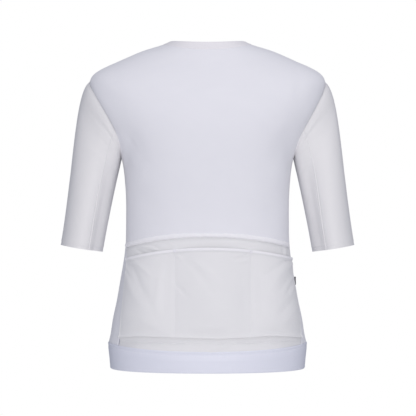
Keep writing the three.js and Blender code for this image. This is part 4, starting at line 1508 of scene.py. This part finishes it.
@dataclass
class SideLoop:
    """Dark ribbon folded double and caught in the right side seam."""

    level: float = -437.0
    seam_offset: float = 1.4
    reach: float = 4.6
    half_gap: float = 0.55
    cloth: float = 0.35
    cut: Cut = Cut(LOOP_RIBBON, "side_loop", "loop_tape", (0.0148, 0.0125), "folded", 0.0148 * 0.0125)

    def build(self, tailor: Tailor) -> bpy.types.Object:
        """Makes the loop inside the room of its solid."""
        low, high = (np.array(corner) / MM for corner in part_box("side_loop"))
        form = tailor.form
        level = np.array(self.level)
        angle = form.seam_angle(1, level) + self.seam_offset
        root = form.plain(angle, level)
        upward = np.array([0.0, 0.0, 1.0])
        out = unit(form.outward(form.plain, angle, level) * (1 - upward))
        across = np.cross(upward, out)
        share = np.linspace(0.0, 1.0, 33)
        reach = self.reach * np.sin(np.pi * share) ** 0.55
        apart = self.half_gap * np.cos(np.pi * share) * np.sin(np.pi * share) ** 0.25
        heights = np.linspace(low[2] + 0.2, high[2] - 0.2, 15)
        points = np.empty((len(heights), len(share), 3))
        for i, z in enumerate(heights):
            sag = 0.25 * math.sin(i * 0.5)
            points[i] = root + out * (reach + sag * share)[:, None] + across * apart[:, None]
            points[i, :, 2] = z
        normals = unit(np.cross(np.gradient(points, axis=1), upward))
        if np.sum(normals[:, 0] * (points[:, 0] - (low + high) / 2)) < 0:
            normals = -normals
        return tailor.sew("side_ribbon", Patch(points, normals), self.cloth, self.cut)


@dataclass
class Stitching:
    """Thread rows on the cuffs and the hem, and bar tacks at the tops of the pocket dividers."""

    tack: Thread = Thread(stitch=5.6, gap=0.4, radius=0.5, lift=0.6)
    tack_half_width: float = 3.2
    tack_spacing: float = 0.85
    tack_rows: int = 6
    tack_rise: float = 5.4
    tack_height: float = 3.0

    def cuff_rows(self, tailor: Tailor) -> list[tuple[Array, Array]]:
        """A stitch row round each cuff."""
        turns = np.linspace(0.0, 2.0, 160)
        share = np.full_like(turns, 1.0 - CUFF_STITCH / SLEEVE_LENGTH)
        rows = []
        for sleeve in tailor.sleeves.values():
            normals = sleeve.normal(turns, share)
            rows.append(Thread().row(sleeve.point(turns, share) - normals * 0.3, normals))
        return rows

    def hem_row(self, form: TorsoForm) -> tuple[Array, Array]:
        """A stitch row under the hem band's top edge."""
        angles = np.linspace(-178.0, 178.0, 400)
        patch = form.patch(angles, np.full_like(angles, HEM_SEAM - HEM_STITCH))
        return Thread().row(patch.points + patch.normals * 0.25, patch.normals)

    def tacks(self, form: TorsoForm) -> list[tuple[Array, Array]]:
        """Bar tacks over both pocket dividers."""
        rows = []
        level = np.array(POCKET_MOUTH - 3.0)
        ends = np.array([-1.0, 0.0, 1.0])[:, None] * np.array([self.tack_half_width, 0.0, 0.0])
        for distance in DIVIDERS:
            place = form.patch(form.back_angle(distance, level), level)
            for i in range(self.tack_rows):
                rise = np.array([0.0, 0.0, self.tack_rise - self.tack_spacing * i])
                path = place.points + ends + rise + place.normals * self.tack_height
                rows.append(self.tack.row(path, np.broadcast_to(place.normals, path.shape)))
        return rows

    def build(self, tailor: Tailor) -> bpy.types.Object:
        """Makes all rows as one piece."""
        form = tailor.form
        piece = joined("stitching", [*self.cuff_rows(tailor), self.hem_row(form), *self.tacks(form)])
        tailor.dress(piece, THREAD, (), "body_cloth")
        return piece


@dataclass
class SliderFinish:
    """Enamel on the slider and the pull tab that the frame holds."""

    def apply(self, materials: dict[str, bpy.types.Material]) -> None:
        """Puts the enamel on both nodes."""
        for name in ("zip_slider", "zip_pull"):
            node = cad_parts[name]
            node.data.materials.clear()
            node.data.materials.append(materials[ZINC_ENAMEL.name])


@dataclass(frozen=True)
class Studio:
    """Level camera square on the back, soft frontal light, white surround, pale floor."""

    distance: float = 2.8
    offset: float = 0.0009
    frame_width: float = 0.778
    eye_height: float = -0.301
    floor_height: float = -1.45
    floor_half_width: float = 3.0
    lamp_size: float = 1.6
    key_power: float = 41.8
    top_power: float = 18.0
    ambient: float = 0.42
    key_tint: tuple[float, float, float] = (1.0, 0.965, 0.945)
    ambient_tint: tuple[float, float, float, float] = (0.83, 0.87, 1.0, 1.0)

    def build(self) -> None:
        """Makes camera, lights, surround and floor."""
        scene = bpy.context.scene
        scene.view_settings.view_transform = "Standard"
        scene.view_settings.look = "None"
        self.camera(scene)
        self.lights(scene)
        self.surround(scene)
        self.floor(scene)

    def camera(self, scene: bpy.types.Scene) -> None:
        """Adds the camera."""
        data = bpy.data.cameras.new("camera")
        data.sensor_width = 36.0
        data.lens = data.sensor_width * self.distance / self.frame_width
        camera = bpy.data.objects.new("camera", data)
        camera.location = (self.offset, -self.distance, self.eye_height)
        camera.rotation_euler = (math.pi / 2, 0.0, 0.0)
        scene.collection.objects.link(camera)
        scene.camera = camera

    def lights(self, scene: bpy.types.Scene) -> None:
        """Adds a large soft light in front and one above."""
        target = Vector((0.0, 0.0, -0.3))
        rows = (
            ("front_light", (0.16, -3.2, -0.22), self.key_power),
            ("top_light", (0.3, -0.9, 2.2), self.top_power),
        )
        for name, place, power in rows:
            data = bpy.data.lights.new(name, "AREA")
            data.shape = "DISK"
            data.size = self.lamp_size
            data.energy = power
            data.color = self.key_tint
            lamp = bpy.data.objects.new(name, data)
            lamp.location = place
            lamp.rotation_euler = (target - Vector(place)).to_track_quat("-Z", "Y").to_euler()
            scene.collection.objects.link(lamp)

    def surround(self, scene: bpy.types.Scene) -> None:
        """White to the eye, and a dimmer even light on the cloth."""
        world = bpy.data.worlds.new("surround")
        scene.world = world
        world.use_nodes = True
        tree = world.node_tree
        tree.nodes.clear()
        path = add_node(tree, "ShaderNodeLightPath")
        seen = add_node(tree, "ShaderNodeBackground", {"Color": (1, 1, 1, 1), "Strength": 1.0})
        settings = {"Color": self.ambient_tint, "Strength": self.ambient}
        cast = add_node(tree, "ShaderNodeBackground", settings)
        links = {"1": cast.outputs["Background"], "2": seen.outputs["Background"]}
        both = add_node(tree, "ShaderNodeMixShader", links={"Fac": path.outputs["Is Camera Ray"], **links})
        add_node(tree, "ShaderNodeOutputWorld", links={"Surface": both.outputs["Shader"]})

    def floor(self, scene: bpy.types.Scene) -> None:
        """Pale matt floor well below the garment."""
        size = self.floor_half_width
        points = np.array([[-size, -size, 0], [size, -size, 0], [size, size, 0], [-size, size, 0]], float)
        points[:, 2] = self.floor_height
        floor = mesh_object("floor", points, np.array([[0, 1, 2, 3]]))
        material = bpy.data.materials.new("matt_white_paint")
        material.use_nodes = True
        surface = material.node_tree.nodes["Principled BSDF"]
        surface.inputs["Base Color"].default_value = linear("#f2f2f2")
        surface.inputs["Roughness"].default_value = 0.9
        floor.data.materials.append(material)


def main() -> None:
    """Builds and dresses every piece in order, then the studio."""
    logging.basicConfig(level=logging.INFO, format="%(name)s: %(message)s")
    tailor = Tailor({finish.name: finish.material() for finish in FINISHES})
    built = [
        UpperBack().build(tailor),
        FrontPanel(-1).build(tailor),
        FrontPanel(1).build(tailor),
        LowerBack().build(tailor),
        WaistSeam().build(tailor),
        *[pocket.build(tailor) for pocket in POCKETS],
        *[Sleeve(side, is_under).build(tailor) for side in (-1, 1) for is_under in (False, True)],
        COLLAR.build(tailor),
        HEM_BAND.build(tailor),
        *Zip().build(tailor),
        SideLoop().build(tailor),
        Stitching().build(tailor),
    ]
    SliderFinish().apply(tailor.materials)
    for piece in built:
        LOG.info("%s: %d faces", piece.name, len(piece.data.polygons))
    Studio().build()


if __name__ == "__main__":
    main()
